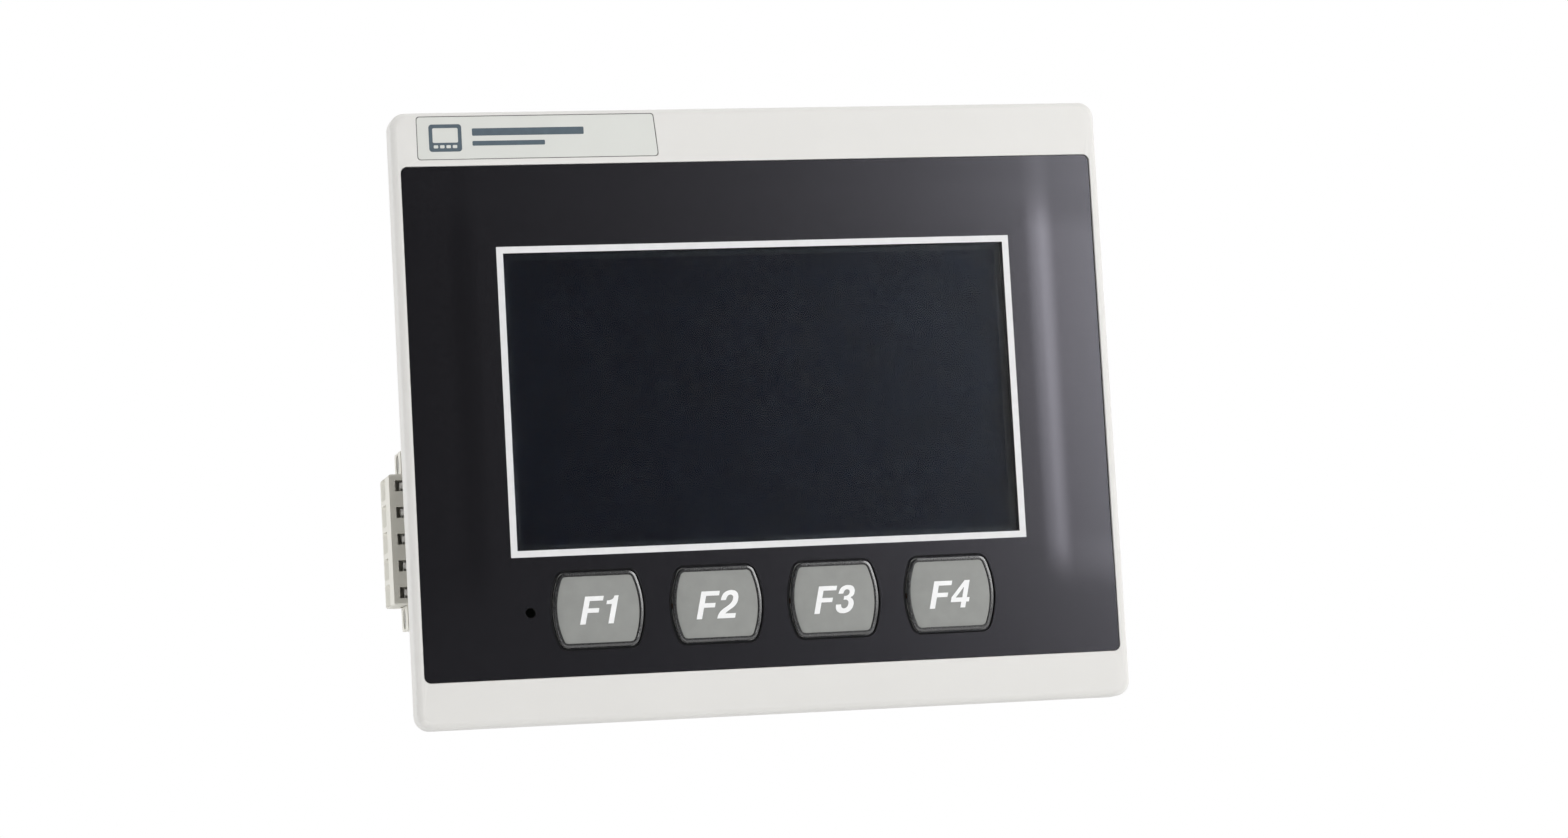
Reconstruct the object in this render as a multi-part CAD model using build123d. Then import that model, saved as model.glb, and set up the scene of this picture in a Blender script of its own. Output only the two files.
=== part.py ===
from build123d import *
import os

# Panel-mounted operator terminal: 4.3 inch touch display, four function keys, pluggable wire terminals.
#
# Millimetres. The origin is the centre of the panel cut-out, on the panel's front surface.
# +X is to the user's right, +Y goes through the panel to the rear, and +Z is up.
# The bezel stands in front of the panel (negative Y), and the rear cover reaches behind it.

# ---------------------------------------------------------------- front bezel
BEZEL_W, BEZEL_H, BEZEL_D = 138.0, 116.0, 6.5
BEZEL_CORNER, BEZEL_DRAFT = 3.0, 0.2
BEZEL_FRONT_EDGE, BEZEL_REAR_EDGE = 1.2, 1.2
FRONT = -BEZEL_D
PLATE_REAR = -3.2
RIB_W, RIB_T, RIB_H, RIB_Z = 84.0, 1.2, 2.0, (40.0, 43.5, -43.5)
PLATE_LEFT, PLATE_FOOT, PLATE_TOP = -64.0, 48.7, 57.0
PLATE_RIGHT_FOOT, PLATE_RIGHT_TOP, PLATE_CORNER, PLATE_T = -17.9, -18.6, 0.6, 0.3
SEAL_OUTER, SEAL_INNER, SEAL_CORNER = (133.0, 111.0), (123.0, 101.0), 4.0
SEAL_SEAT, SEAL_PROUD = -1.2, 0.8
FIT_GAP = 0.1

# ------------------------------------------------- sheets in the bezel's recess
OVERLAY_W, OVERLAY_H, OVERLAY_Z, OVERLAY_CORNER = 134.4, 96.6, -0.85, 1.2
OVERLAY_FRONT = FRONT + 0.3
OVERLAY_REAR = OVERLAY_FRONT + 0.3
CIRCUIT_FRONT = OVERLAY_REAR + 0.45
FLOOR = CIRCUIT_FRONT + 0.25
CIRCUIT_W, CIRCUIT_H, CIRCUIT_Z = 104.0, 13.6, -40.6
KEYPAD_TAIL_W, KEYPAD_TAIL_X, KEYPAD_TAIL_Z, KEYPAD_TAIL_T = 14.0, 12.0, -46.0, 0.2
BREATHER_W = 1.0

# ------------------------------------------------------------ display module
WINDOW_W, WINDOW_H, DISPLAY_Z = 97.4, 56.1, 2.7
MODULE_W, MODULE_H, MODULE_T = 105.5, 67.2, 2.9
ACTIVE_W, ACTIVE_H = 95.04, 53.86
TOUCH_T, DISPLAY_SEAL_T, BRACKET_T = 1.4, 0.5, 0.8
FRAME_SHEET, CELL_T = 0.4, 1.2
TOUCH_REAR = CIRCUIT_FRONT + TOUCH_T
MODULE_FRONT = TOUCH_REAR + DISPLAY_SEAL_T
MODULE_REAR = MODULE_FRONT + MODULE_T
BRACKET_REAR = MODULE_REAR + BRACKET_T
CELL_FRONT = MODULE_FRONT + FRAME_SHEET + 0.02
CELL_W, CELL_H = MODULE_W - 1.0, MODULE_H - 1.0
BRACKET_HOLE_X, BRACKET_HOLE_W, BRACKET_HOLE_H, BRACKET_LIP = 25.0, 38.0, 40.0, 1.2

# ------------------------------------------------------------- function keys
KEY_COUNT, KEY_PITCH, KEY_Z = 4, 22.7, -36.85
KEY_W, KEY_H, KEY_BULGE, KEY_CORNER = 15.6, 12.5, 1.3, 0.9
KEY_RIM, KEY_GAP, KEY_STEP = 0.72, 0.12, 0.12
KEY_CREST, KEY_FACE = OVERLAY_FRONT - 0.62, OVERLAY_FRONT - 0.38
KEY_FOOT = OVERLAY_FRONT - 0.02
NUB_R = 1.5
DOME_R, DOME_H, DOME_T, DOME_POCKET_R = 4.2, 0.33, 0.08, 5.0
KEY_X = [(i - (KEY_COUNT - 1) / 2) * KEY_PITCH for i in range(KEY_COUNT)]
LED_X, LED_Z, LED_R = -46.8, -37.0, 0.95

# ---------------------------------------------------------------- rear cover
COVER_W, COVER_H, COVER_REAR = 118.0, 98.0, 36.5
COVER_WALL, COVER_CORNER, COVER_FRONT, COVER_EDGE = 2.0, 3.0, -3.1, 1.6
INNER_W, INNER_H = COVER_W - 2 * COVER_WALL, COVER_H - 2 * COVER_WALL
SIDE_X, FOOT_Z = COVER_W / 2, -COVER_H / 2
CASE_SCREW_XZ = [(x, z) for x in (-53.0, 53.0) for z in (-43.5, 43.5)]
CASE_SCREW_HEAD_R, CASE_SCREW_HEAD_T, CASE_SCREW_R = 2.75, 2.2, 1.45
CASE_BOSS_R, BOSS_REAR, CASE_SCREW_SEAT = 3.2, 8.0, 14.0
BRACKET_SCREW_XZ = [(x, z) for x in (-46.0, 46.0) for z in (-35.5, 40.0)]
BRACKET_BOSS_R, BRACKET_SCREW_R = 2.4, 1.0
LEVER_SLOT_X, LEVER_SLOT_L, LEVER_SLOT_W, LEVER_SLOT_Y, LEVER_SLOT_D = 38.0, 12.0, 3.2, 6.5, 3.0
LEVER_WALL = 1.2
LABEL_W, LABEL_H, LABEL_Z, LABEL_T = 84.0, 44.0, -6.0, 0.3
RAIL_W, RAIL_H, RAIL_GAP = 2.0, 0.5, 4.0
SLOT_COUNT, SLOT_PITCH, SLOT_W = 13, 6.0, 2.0

# ---------------------------------------------------------------- main board
BOARD_W, BOARD_H, BOARD_FRONT, BOARD_T = 108.0, 88.0, 12.4, 1.6
BOARD_REAR = BOARD_FRONT + BOARD_T
STANDOFF_XZ = [(-21.0, -38.0), (46.0, -36.0), (-42.0, 37.0), (42.0, 37.0)]
STANDOFF_R, STANDOFF_SCREW_R, STANDOFF_SCREW_L = 3.2, 1.25, 6.0
CABLE_SOCKET_T, CABLE_SOCKET_H = 2.0, 4.5
BATTERY_XZ, BATTERY_R, BATTERY_T = (27.0, 24.0), 10.0, 3.2

# ------------------------------------------------- ports in the foot and the right side
# Each port: its centre along the wall, its width along the wall and its height off the board.
PORT_FACE_Z = FOOT_Z + 0.2
ETHERNET_X, ETHERNET_W, ETHERNET_H, ETHERNET_L = 14.0, 16.0, 13.3, 21.0
SERIAL_X, SERIAL_W, SERIAL_H, SERIAL_L = -6.0, 14.0, 13.0, 12.8
USB_DEVICE_X, USB_DEVICE_W, USB_DEVICE_H, USB_DEVICE_L = 33.0, 7.7, 3.9, 9.0
USB_HOST_Z, USB_HOST_W, USB_HOST_H, USB_HOST_L = 8.0, 14.6, 7.0, 17.0
CARD_Z, CARD_W, CARD_H, CARD_L = -16.0, 14.4, 1.9, 15.0
PORT_GAP = 0.2

# -------------------------------------------- pluggable screw terminals
# Local frame of a plug: +X is the way it pulls off, Y is the part's own Y, Z runs along the poles.
# X = 0 is the end of the plug's block, where its nose begins.
PITCH = 5.08
PLUG_FRONT, PLUG_REAR, PLUG_L, NOSE_L = 9.5, 25.0, 11.0, 7.6
CONTACT_Y, CONTACT_HALF_W = 17.8, 1.2
NOSE_FRONT, NOSE_REAR = CONTACT_Y - 2.9, CONTACT_Y + 2.9
CAGE_X0, CAGE_X1, CAGE_W = 3.4, 8.4, 4.3
CAGE_FRONT, CAGE_REAR, CAGE_WALL, CAGE_TOP_WALL = 13.7, 19.7, 0.8, 1.3
CAGE_TRAVEL = 2.4
CHAMBER_REAR = CAGE_REAR + CAGE_TRAVEL + 0.1
CLAMP_HEAD_Y, CLAMP_HEAD_R, CLAMP_HEAD_T, CLAMP_SHANK_R = 23.0, 1.95, 1.6, 1.45
SCREW_X = (CAGE_X0 + CAGE_X1) / 2
SCREW_SLOT = 0.6
THROAT_Y, THROAT_SIZE = 16.25, 3.2
MOUTH_Y, MOUTH_D, MOUTH_W, MOUTH_CORNER = 19.1, 6.4, 4.1, 0.5
WINDOW_X, TEST_WINDOW = PLUG_L - 2.2, 2.1
HEADER_FACE, HEADER_BACK, HEADER_CAVITY = -2.3, -14.3, -8.0
HEADER_REAR = 22.0
FLANGE_L, FLANGE_Z, FLANGE_END = 8.2, 14.8, 17.05
FLANGE_FRONT, FLANGE_REAR, FLANGE_BORE_R = 12.6, 22.0, 2.0
FLANGE_HEAD_R, FLANGE_HEAD_T, FLANGE_SHANK_R, FLANGE_TIP = 1.85, 1.5, 1.45, -5.5
PIN_HALF, PIN_BEND, PIN_TIP = 0.5, -12.0, -3.0
COMM_POLES, COMM_Z, COMM_X = 5, -21.05, -SIDE_X - 0.2
POWER_POLES, POWER_X, POWER_Z = 3, -36.0, FOOT_Z + 3.2
COMM_PLACE = Location((COMM_X, 0, COMM_Z), (0, 180, 0))
POWER_PLACE = Location((POWER_X, 0, POWER_Z), (0, 90, 0))


# ============================================================== basic shapes
def facing(y, x=0.0, z=0.0):
    """A plane square to Y, with its first axis along X and its second along Z."""
    return Plane(origin=(x, y, z), x_dir=(1, 0, 0), z_dir=(0, -1, 0))


def prism(outline, y0, y1, x=0.0, z=0.0):
    """An outline drawn in X and Z, between two depths."""
    return extrude(facing(y1, x, z) * outline, y1 - y0)


def slab(w, h, y0, y1, x=0.0, z=0.0, r=0.0):
    """A rectangular plate square to Y, with its corners rounded to r."""
    return prism(RectangleRounded(w, h, r) if r else Rectangle(w, h), y0, y1, x, z)


def rod(r, y0, y1, x=0.0, z=0.0):
    """A round bar along Y."""
    return prism(Circle(r), y0, y1, x, z)


def block(x0, x1, y0, y1, z0, z1):
    """A box from its lowest to its highest corner."""
    centre = ((x0 + x1) / 2, (y0 + y1) / 2, (z0 + z1) / 2)
    return Pos(*centre) * Box(x1 - x0, y1 - y0, z1 - z0)


def bar_x(r, x0, x1, y, z):
    """A round bar along X."""
    return Pos((x0 + x1) / 2, y, z) * Rot(0, 90, 0) * Cylinder(r, x1 - x0)


def bar_z(r, z0, z1, x, y):
    """A round bar along Z."""
    return Pos(x, y, (z0 + z1) / 2) * Cylinder(r, z1 - z0)


def ring(outer, inner, y0, y1, z=0.0, r=1.0):
    """A rectangular frame between two sizes, each (width, height)."""
    return slab(*outer, y0, y1, z=z, r=r) - slab(*inner, y0, y1, z=z, r=r)


def shrunk(size, by):
    """A (width, height) made smaller by the same amount both ways."""
    return size[0] - by, size[1] - by


def edges_at(shape, y):
    """The edges that lie in one plane square to Y."""
    return shape.edges().filter_by_position(Axis.Y, y - 0.001, y + 0.001)


def barrel(grow=0.0):
    """A key's outline: flat top and foot, bulging sides, rounded corners, all grown outwards."""
    half_h = KEY_H / 2
    corner_x, side_x = KEY_W / 2 - KEY_BULGE, KEY_W / 2
    right = ThreePointArc((corner_x, -half_h), (side_x, 0), (corner_x, half_h))
    left = ThreePointArc((-corner_x, half_h), (-side_x, 0), (-corner_x, -half_h))
    top = Line((corner_x, half_h), (-corner_x, half_h))
    foot = Line((-corner_x, -half_h), (corner_x, -half_h))
    face = make_face([right, top, left, foot])
    face = fillet(face.vertices(), KEY_CORNER)
    return offset(face, grow) if grow else face


def ribbon(width, thickness, points, radius):
    """A flat flexible cable bent along a filleted route, its width along X."""
    route = FilletPolyline(*points, radius=radius)
    section = Plane(origin=route @ 0, x_dir=(1, 0, 0), z_dir=route % 0) * Rectangle(width, thickness)
    return sweep(section, path=route)


def cross_screw(x, z, seat, tip, head_r, head_t, shank_r):
    """A pan-head screw along Y with a cross recess. Its head lies behind seat and it points to -Y."""
    top = seat + head_t
    screw = rod(head_r, seat, top, x, z) + rod(shank_r, tip, seat, x, z)
    screw = fillet(edges_at(screw, top), head_t * 0.45)
    recess, across, slot = top - head_t * 0.6, head_r * 1.1, head_r * 0.25
    screw -= slab(across, slot, recess, top, x, z)
    screw -= slab(slot, across, recess, top, x, z)
    return chamfer(edges_at(screw, tip), shank_r * 0.3)


# ============================================================== front of unit
def bezel_blank():
    """The bezel's outer form, a little narrower at the front than at the rear."""
    front_w, front_h = BEZEL_W - 2 * BEZEL_DRAFT, BEZEL_H - 2 * BEZEL_DRAFT
    rear = facing(0) * RectangleRounded(BEZEL_W, BEZEL_H, BEZEL_CORNER)
    front = facing(FRONT) * RectangleRounded(front_w, front_h, BEZEL_CORNER - BEZEL_DRAFT)
    body = loft([rear, front])
    body = fillet(edges_at(body, FRONT), BEZEL_FRONT_EDGE)
    return fillet(edges_at(body, 0), BEZEL_REAR_EDGE)


def name_plate_outline(shrink=0.0):
    """The name plate's outline in X and Z: square at the left, raked at the right end."""
    left, foot, top = PLATE_LEFT + shrink, PLATE_FOOT + shrink, PLATE_TOP - shrink
    points = [(left, foot), (PLATE_RIGHT_FOOT - shrink, foot), (PLATE_RIGHT_TOP - shrink, top), (left, top)]
    face = make_face(Polyline(*points, close=True))
    return fillet(face.vertices(), PLATE_CORNER)


def front_bezel():
    body = bezel_blank()
    recess = (OVERLAY_W + 2 * FIT_GAP, OVERLAY_H + 2 * FIT_GAP)
    body -= slab(*recess, FRONT, FLOOR, z=OVERLAY_Z, r=OVERLAY_CORNER + FIT_GAP)
    body -= prism(name_plate_outline(), FRONT, FRONT + PLATE_T)
    body -= slab(MODULE_W + 0.8, MODULE_H + 0.8, FLOOR, 0, z=DISPLAY_Z, r=0.5)
    body -= slab(COVER_W + 0.3, COVER_H + 0.3, PLATE_REAR, 0, r=COVER_CORNER)
    body -= ring(SEAL_OUTER, SEAL_INNER, SEAL_SEAT, 0, r=SEAL_CORNER)
    # notch below the module for the flat cables, and a slot for the keypad's tail
    body -= slab(40, 2.0, FLOOR, PLATE_REAR, x=4, z=DISPLAY_Z - MODULE_H / 2 - 1.2)
    body -= slab(KEYPAD_TAIL_W + 2, 2.0, FLOOR, PLATE_REAR, x=KEYPAD_TAIL_X, z=KEYPAD_TAIL_Z)
    for x, z in CASE_SCREW_XZ:
        body += rod(CASE_BOSS_R, PLATE_REAR, BOSS_REAR, x, z)
        body -= rod(CASE_SCREW_R + 0.05, PLATE_REAR, BOSS_REAR, x, z)
    for x, z in BRACKET_SCREW_XZ:
        body += rod(BRACKET_BOSS_R, PLATE_REAR, MODULE_REAR, x, z)
        body -= rod(BRACKET_SCREW_R + 0.05, PLATE_REAR + 0.1, MODULE_REAR, x, z)
    # ribs that stiffen the thin front plate between the display and the cover's edge
    for z in RIB_Z:
        body += slab(RIB_W, RIB_T, PLATE_REAR, PLATE_REAR + RIB_H, z=z)
    return body


def panel_seal():
    outer, inner = shrunk(SEAL_OUTER, 2 * FIT_GAP), shrunk(SEAL_INNER, -2 * FIT_GAP)
    seal = ring(outer, inner, SEAL_SEAT, SEAL_PROUD, r=SEAL_CORNER - FIT_GAP)
    return fillet(edges_at(seal, SEAL_PROUD), 0.6)


def name_plate():
    plate = prism(name_plate_outline(0.12), FRONT, FRONT + PLATE_T)
    return fillet(edges_at(plate, FRONT), 0.08)


def front_overlay():
    sheet = slab(OVERLAY_W, OVERLAY_H, OVERLAY_FRONT, OVERLAY_REAR, z=OVERLAY_Z, r=OVERLAY_CORNER)
    sheet -= slab(WINDOW_W, WINDOW_H, OVERLAY_FRONT, OVERLAY_REAR, z=DISPLAY_Z)
    for x in KEY_X:
        sheet -= prism(barrel(KEY_RIM + KEY_GAP), OVERLAY_FRONT, OVERLAY_REAR, x, KEY_Z)
    return sheet - rod(LED_R, OVERLAY_FRONT, OVERLAY_REAR, LED_X, LED_Z)


def overlay_window():
    return slab(WINDOW_W, WINDOW_H, OVERLAY_FRONT, OVERLAY_REAR, z=DISPLAY_Z)


def overlay_adhesive():
    sheet = slab(OVERLAY_W, OVERLAY_H, OVERLAY_REAR, CIRCUIT_FRONT, z=OVERLAY_Z, r=OVERLAY_CORNER)
    sheet -= slab(WINDOW_W + 1.2, WINDOW_H + 1.2, OVERLAY_REAR, CIRCUIT_FRONT, z=DISPLAY_Z)
    for x in KEY_X:
        sheet -= rod(DOME_POCKET_R, OVERLAY_REAR, CIRCUIT_FRONT, x, KEY_Z)
    # air channels let a pressed dome breathe into its neighbour
    sheet -= slab(KEY_X[-1] - KEY_X[0], BREATHER_W, OVERLAY_REAR, CIRCUIT_FRONT, z=KEY_Z)
    return sheet - rod(2.0, OVERLAY_REAR, CIRCUIT_FRONT, LED_X, LED_Z)


def status_led_lens():
    lens = rod(LED_R - 0.03, OVERLAY_FRONT, OVERLAY_REAR, LED_X, LED_Z)
    return fillet(edges_at(lens, OVERLAY_FRONT), 0.1)


def function_key(x):
    """An embossed pad: a raised rim round a flat printed face, and a nub that reaches its dome."""
    pad = prism(barrel(KEY_RIM), KEY_CREST, KEY_FOOT, x, KEY_Z)
    pad = fillet(edges_at(pad, KEY_CREST), 0.4)
    pad -= prism(barrel(KEY_STEP), KEY_CREST, KEY_FACE, x, KEY_Z)
    return pad + rod(NUB_R, KEY_FOOT, CIRCUIT_FRONT - DOME_H - 0.02, x, KEY_Z)


def snap_domes():
    """Four sprung steel discs, one under each key."""
    sphere_r = (DOME_R**2 + DOME_H**2) / (2 * DOME_H)
    top = CIRCUIT_FRONT - DOME_H
    domes = []
    for x in KEY_X:
        shell = Sphere(sphere_r) - Sphere(sphere_r - DOME_T)
        cap = rod(DOME_R, top - 1, CIRCUIT_FRONT, x, KEY_Z)
        domes.append((Pos(x, top + sphere_r, KEY_Z) * shell) & cap)
    return domes


def keypad_circuit():
    """The printed switch sheet, with the status lamp on it and a slot where its tail goes back."""
    sheet = slab(CIRCUIT_W, CIRCUIT_H, CIRCUIT_FRONT, FLOOR, z=CIRCUIT_Z, r=1.0)
    lamp = slab(1.6, 0.8, CIRCUIT_FRONT - 0.35, CIRCUIT_FRONT, LED_X, LED_Z)
    sheet -= slab(KEYPAD_TAIL_W, 0.6, CIRCUIT_FRONT, FLOOR, KEYPAD_TAIL_X, KEYPAD_TAIL_Z)
    return sheet + lamp


# ============================================================ display module
def touch_screen():
    glass = slab(MODULE_W, MODULE_H, CIRCUIT_FRONT, TOUCH_REAR, z=DISPLAY_Z, r=0.4)
    return chamfer(edges_at(glass, CIRCUIT_FRONT), 0.15)


def display_seal():
    outer, inner = shrunk((MODULE_W, MODULE_H), 0.6), shrunk((WINDOW_W, WINDOW_H), -0.2)
    return ring(outer, inner, TOUCH_REAR, MODULE_FRONT, z=DISPLAY_Z, r=0.3)


def display_frame():
    """The display's folded steel frame: a front lip and four sides, with small clip windows."""
    frame = slab(MODULE_W, MODULE_H, MODULE_FRONT, MODULE_REAR, z=DISPLAY_Z, r=0.6)
    inside = shrunk((MODULE_W, MODULE_H), 2 * FRAME_SHEET)
    frame -= slab(*inside, MODULE_FRONT + FRAME_SHEET, MODULE_REAR, z=DISPLAY_Z, r=0.3)
    frame -= slab(ACTIVE_W + 1.4, ACTIVE_H + 1.4, MODULE_FRONT, MODULE_REAR, z=DISPLAY_Z)
    for x in (-36, -12, 12, 36):
        frame -= slab(5, MODULE_H + 1, MODULE_REAR - 1.2, MODULE_REAR - 0.6, x=x, z=DISPLAY_Z)
    return frame


def display_glass():
    return slab(CELL_W, CELL_H, CELL_FRONT, CELL_FRONT + CELL_T, z=DISPLAY_Z, r=0.2)


def display_backlight():
    tray = slab(CELL_W, CELL_H, CELL_FRONT + CELL_T + 0.02, MODULE_REAR, z=DISPLAY_Z, r=0.2)
    for x in (-30, 30):
        tray -= slab(20, 30, MODULE_REAR - 0.3, MODULE_REAR, x=x, z=DISPLAY_Z, r=2)
    return tray


def display_bracket():
    """A pressed plate that clamps the display into the bezel."""
    plate = slab(MODULE_W - 1, MODULE_H - 4, MODULE_REAR, BRACKET_REAR, z=DISPLAY_Z, r=2)
    for x, z in BRACKET_SCREW_XZ:
        inward = DISPLAY_Z + (MODULE_H / 2 - 4 if z > 0 else 4 - MODULE_H / 2)
        reach = abs(z - inward) + 4
        plate += slab(9, reach, MODULE_REAR, BRACKET_REAR, x=x, z=(z + inward) / 2, r=1.5)
        plate -= rod(BRACKET_SCREW_R + 0.3, MODULE_REAR, BRACKET_REAR, x, z)
    # two large holes, each with a raised lip
    hole = (BRACKET_HOLE_W, BRACKET_HOLE_H)
    for x in (-BRACKET_HOLE_X, BRACKET_HOLE_X):
        plate -= slab(*hole, MODULE_REAR, BRACKET_REAR, x=x, z=DISPLAY_Z, r=4)
        lip = ring(shrunk(hole, -2), hole, BRACKET_REAR, BRACKET_REAR + BRACKET_LIP, z=DISPLAY_Z, r=4)
        plate += Pos(x, 0, 0) * lip
    return plate


def bracket_screws():
    tip = PLATE_REAR + 0.3
    return [cross_screw(x, z, BRACKET_REAR, tip, 2.0, 1.3, BRACKET_SCREW_R) for x, z in BRACKET_SCREW_XZ]


# ================================================================ rear cover
def foot_opening(x, width, height):
    """An opening through the foot wall for a port that stands on the board."""
    half = width / 2 + PORT_GAP
    y0, y1 = BOARD_REAR - PORT_GAP, BOARD_REAR + height + PORT_GAP
    return block(x - half, x + half, y0, y1, FOOT_Z - 1, FOOT_Z + COVER_WALL + 1)


def side_opening(z, width, height):
    """An opening through the right wall for a port that stands on the board."""
    half = width / 2 - 0.3
    y0, y1 = BOARD_REAR - PORT_GAP, BOARD_REAR + height + PORT_GAP
    return block(INNER_W / 2 - 1, SIDE_X + 1, y0, y1, z - half, z + half)


def wall_ports():
    """Everything that opens through the cover's side walls."""
    comm_half = COMM_POLES * PITCH / 2 + 5.2
    power_half = POWER_POLES * PITCH / 2 + 0.4
    z0, z1 = COMM_Z - comm_half, COMM_Z + comm_half
    x0, x1 = POWER_X - power_half, POWER_X + power_half
    foot, inside = FOOT_Z - 1, FOOT_Z + COVER_WALL + 1
    return [
        block(-SIDE_X - 1, -INNER_W / 2 + 1, 13.2, 22.8, z0, z1),
        block(x0, x1, PLUG_FRONT - 0.4, PLUG_REAR + 0.4, foot, inside),
        foot_opening(SERIAL_X, SERIAL_W, SERIAL_H),
        foot_opening(ETHERNET_X, ETHERNET_W, ETHERNET_H),
        foot_opening(USB_DEVICE_X, USB_DEVICE_W, USB_DEVICE_H),
        side_opening(USB_HOST_Z, USB_HOST_W + 1.0, USB_HOST_H),
        side_opening(CARD_Z, CARD_W, CARD_H),
    ]


def cooling_slots():
    """Slots in the top and foot walls near the rear, and a row across the rear wall."""
    top_z, half = COVER_H / 2, SLOT_W / 2
    cuts = []
    for i in range(SLOT_COUNT):
        x = (i - (SLOT_COUNT - 1) / 2) * SLOT_PITCH
        cuts.append(block(x - half, x + half, 19.5, 31.5, top_z - 3, top_z + 1))
        cuts.append(slab(SLOT_W, 12.0, COVER_REAR - 3, COVER_REAR + 1, x, 36.0, r=0.9))
        if abs(x) < 19:
            cuts.append(block(x - half, x + half, 28.6, 32.6, FOOT_Z - 1, FOOT_Z + 3))
    return cuts


def lever_pocket(x, side, grow, depth):
    """A box let into the top wall (side 1) or the foot wall (side -1), open to the outside."""
    middle = side * (COVER_H / 2 - depth / 2)
    return Pos(x, LEVER_SLOT_Y, middle) * Box(LEVER_SLOT_L + grow, LEVER_SLOT_W + grow, depth)


def rear_cover():
    body = slab(COVER_W, COVER_H, COVER_FRONT, COVER_REAR, r=COVER_CORNER)
    body = fillet(edges_at(body, COVER_REAR), COVER_EDGE)
    body -= slab(INNER_W, INNER_H, COVER_FRONT, COVER_REAR - COVER_WALL, r=1.2)
    within = slab(COVER_W - 1, COVER_H - 1, BOSS_REAR, COVER_REAR - 1)
    for x, z in CASE_SCREW_XZ:
        body += rod(4.4, BOSS_REAR + 0.1, COVER_REAR - 1, x, z) & within
        body -= rod(CASE_SCREW_HEAD_R + 0.35, CASE_SCREW_SEAT, COVER_REAR, x, z)
        body -= rod(CASE_SCREW_R + 0.25, BOSS_REAR, CASE_SCREW_SEAT, x, z)
    for x, z in STANDOFF_XZ:
        body += rod(STANDOFF_R, BOARD_REAR, COVER_REAR - COVER_WALL, x, z)
        body -= rod(STANDOFF_SCREW_R + 0.05, BOARD_REAR, BOARD_REAR + 9, x, z)
    for cut in wall_ports() + cooling_slots():
        body -= cut
    # blind pockets for the panel's clamping levers, two in the top wall and two in the foot
    for x in (-LEVER_SLOT_X, LEVER_SLOT_X):
        for side in (-1, 1):
            body += lever_pocket(x, side, 2 * LEVER_WALL, LEVER_SLOT_D + LEVER_WALL)
            body -= lever_pocket(x, side, 0, LEVER_SLOT_D)
    body -= slab(LABEL_W, LABEL_H, COVER_REAR - LABEL_T, COVER_REAR, z=LABEL_Z, r=2.0)
    # moulded rails beside the label
    top = COVER_REAR + RAIL_H
    for x in (-LABEL_W / 2 - RAIL_GAP, LABEL_W / 2 + RAIL_GAP):
        rail = slab(RAIL_W, LABEL_H, COVER_REAR, top, x=x, z=LABEL_Z, r=0.9)
        body += fillet(edges_at(rail, top), 0.3)
    return body


def rating_label():
    size = shrunk((LABEL_W, LABEL_H), 0.4)
    return slab(*size, COVER_REAR - LABEL_T, COVER_REAR - 0.05, z=LABEL_Z, r=1.8)


def case_screws():
    head = (CASE_SCREW_HEAD_R, CASE_SCREW_HEAD_T, CASE_SCREW_R)
    return [cross_screw(x, z, CASE_SCREW_SEAT, -1.0, *head) for x, z in CASE_SCREW_XZ]


# ================================================================ main board
def main_board():
    board = slab(BOARD_W, BOARD_H, BOARD_FRONT, BOARD_REAR, r=1.0)
    for x, z in CASE_SCREW_XZ:
        board -= rod(5.2, BOARD_FRONT, BOARD_REAR, x, z)
    for x, z in STANDOFF_XZ:
        board -= rod(STANDOFF_SCREW_R + 0.35, BOARD_FRONT, BOARD_REAR, x, z)
    for place, poles in ((COMM_PLACE, COMM_POLES), (POWER_PLACE, POWER_POLES)):
        for z in pole_places(poles):
            board -= place * rod(0.8, BOARD_FRONT, BOARD_REAR, PIN_BEND, z)
    return board


def board_screws():
    head_r, head_t, cross, slot = 2.6, 1.8, 3.0, 0.6
    top = BOARD_FRONT - head_t
    screws = []
    for x, z in STANDOFF_XZ:
        head = rod(head_r, top, BOARD_FRONT, x, z)
        head = fillet(edges_at(head, top), 0.7)
        head -= slab(cross, slot, top, top + 1.0, x, z)
        head -= slab(slot, cross, top, top + 1.0, x, z)
        screws.append(head + rod(STANDOFF_SCREW_R, BOARD_FRONT, BOARD_REAR + STANDOFF_SCREW_L, x, z))
    return screws


def chip(w, h, t, x, z):
    """A moulded circuit package, with a chamfered top edge and a pin-one mark."""
    top = BOARD_REAR + t
    body = slab(w, h, BOARD_REAR, top, x, z)
    body = chamfer(edges_at(body, top), min(0.25, t / 4))
    return body - rod(0.5, top - 0.15, top, x - w / 2 + 1.3, z + h / 2 - 1.3)


def circuit_chips():
    # each package: width, height, thickness, then its place on the board
    packages = [
        (19, 19, 1.6, -8, 10),
        (11, 8, 1.1, -30, 16),
        (11, 8, 1.1, -30, 4),
        (12, 18, 1.2, 8, 30),
        (7, 7, 0.9, 14, -14),
        (10, 7.5, 2.2, -32, -10),
        (5, 6, 1.6, 30, -6),
    ]
    return [chip(*p) for p in packages]


def supply_components():
    """The supply's can capacitors and its shielded choke."""
    base_t, choke_t, choke_x, choke_z = 1.2, 5.0, -16.0, -26.0
    parts = []
    for x, z, r, h in ((-27, -24, 4.0, 10.5), (-36, -24, 4.0, 10.5), (-16, -12, 3.15, 7.7)):
        top = BOARD_REAR + h
        base = slab(2 * r + 0.4, 2 * r + 0.4, BOARD_REAR, BOARD_REAR + base_t, x, z)
        can = rod(r, BOARD_REAR + base_t, top, x, z)
        parts.append(base + fillet(edges_at(can, top), 0.5))
    top = BOARD_REAR + choke_t
    choke = slab(10, 10, BOARD_REAR, top, choke_x, choke_z, r=2)
    parts.append(choke - rod(3.2, top - 0.6, top, choke_x, choke_z))
    return parts


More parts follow.
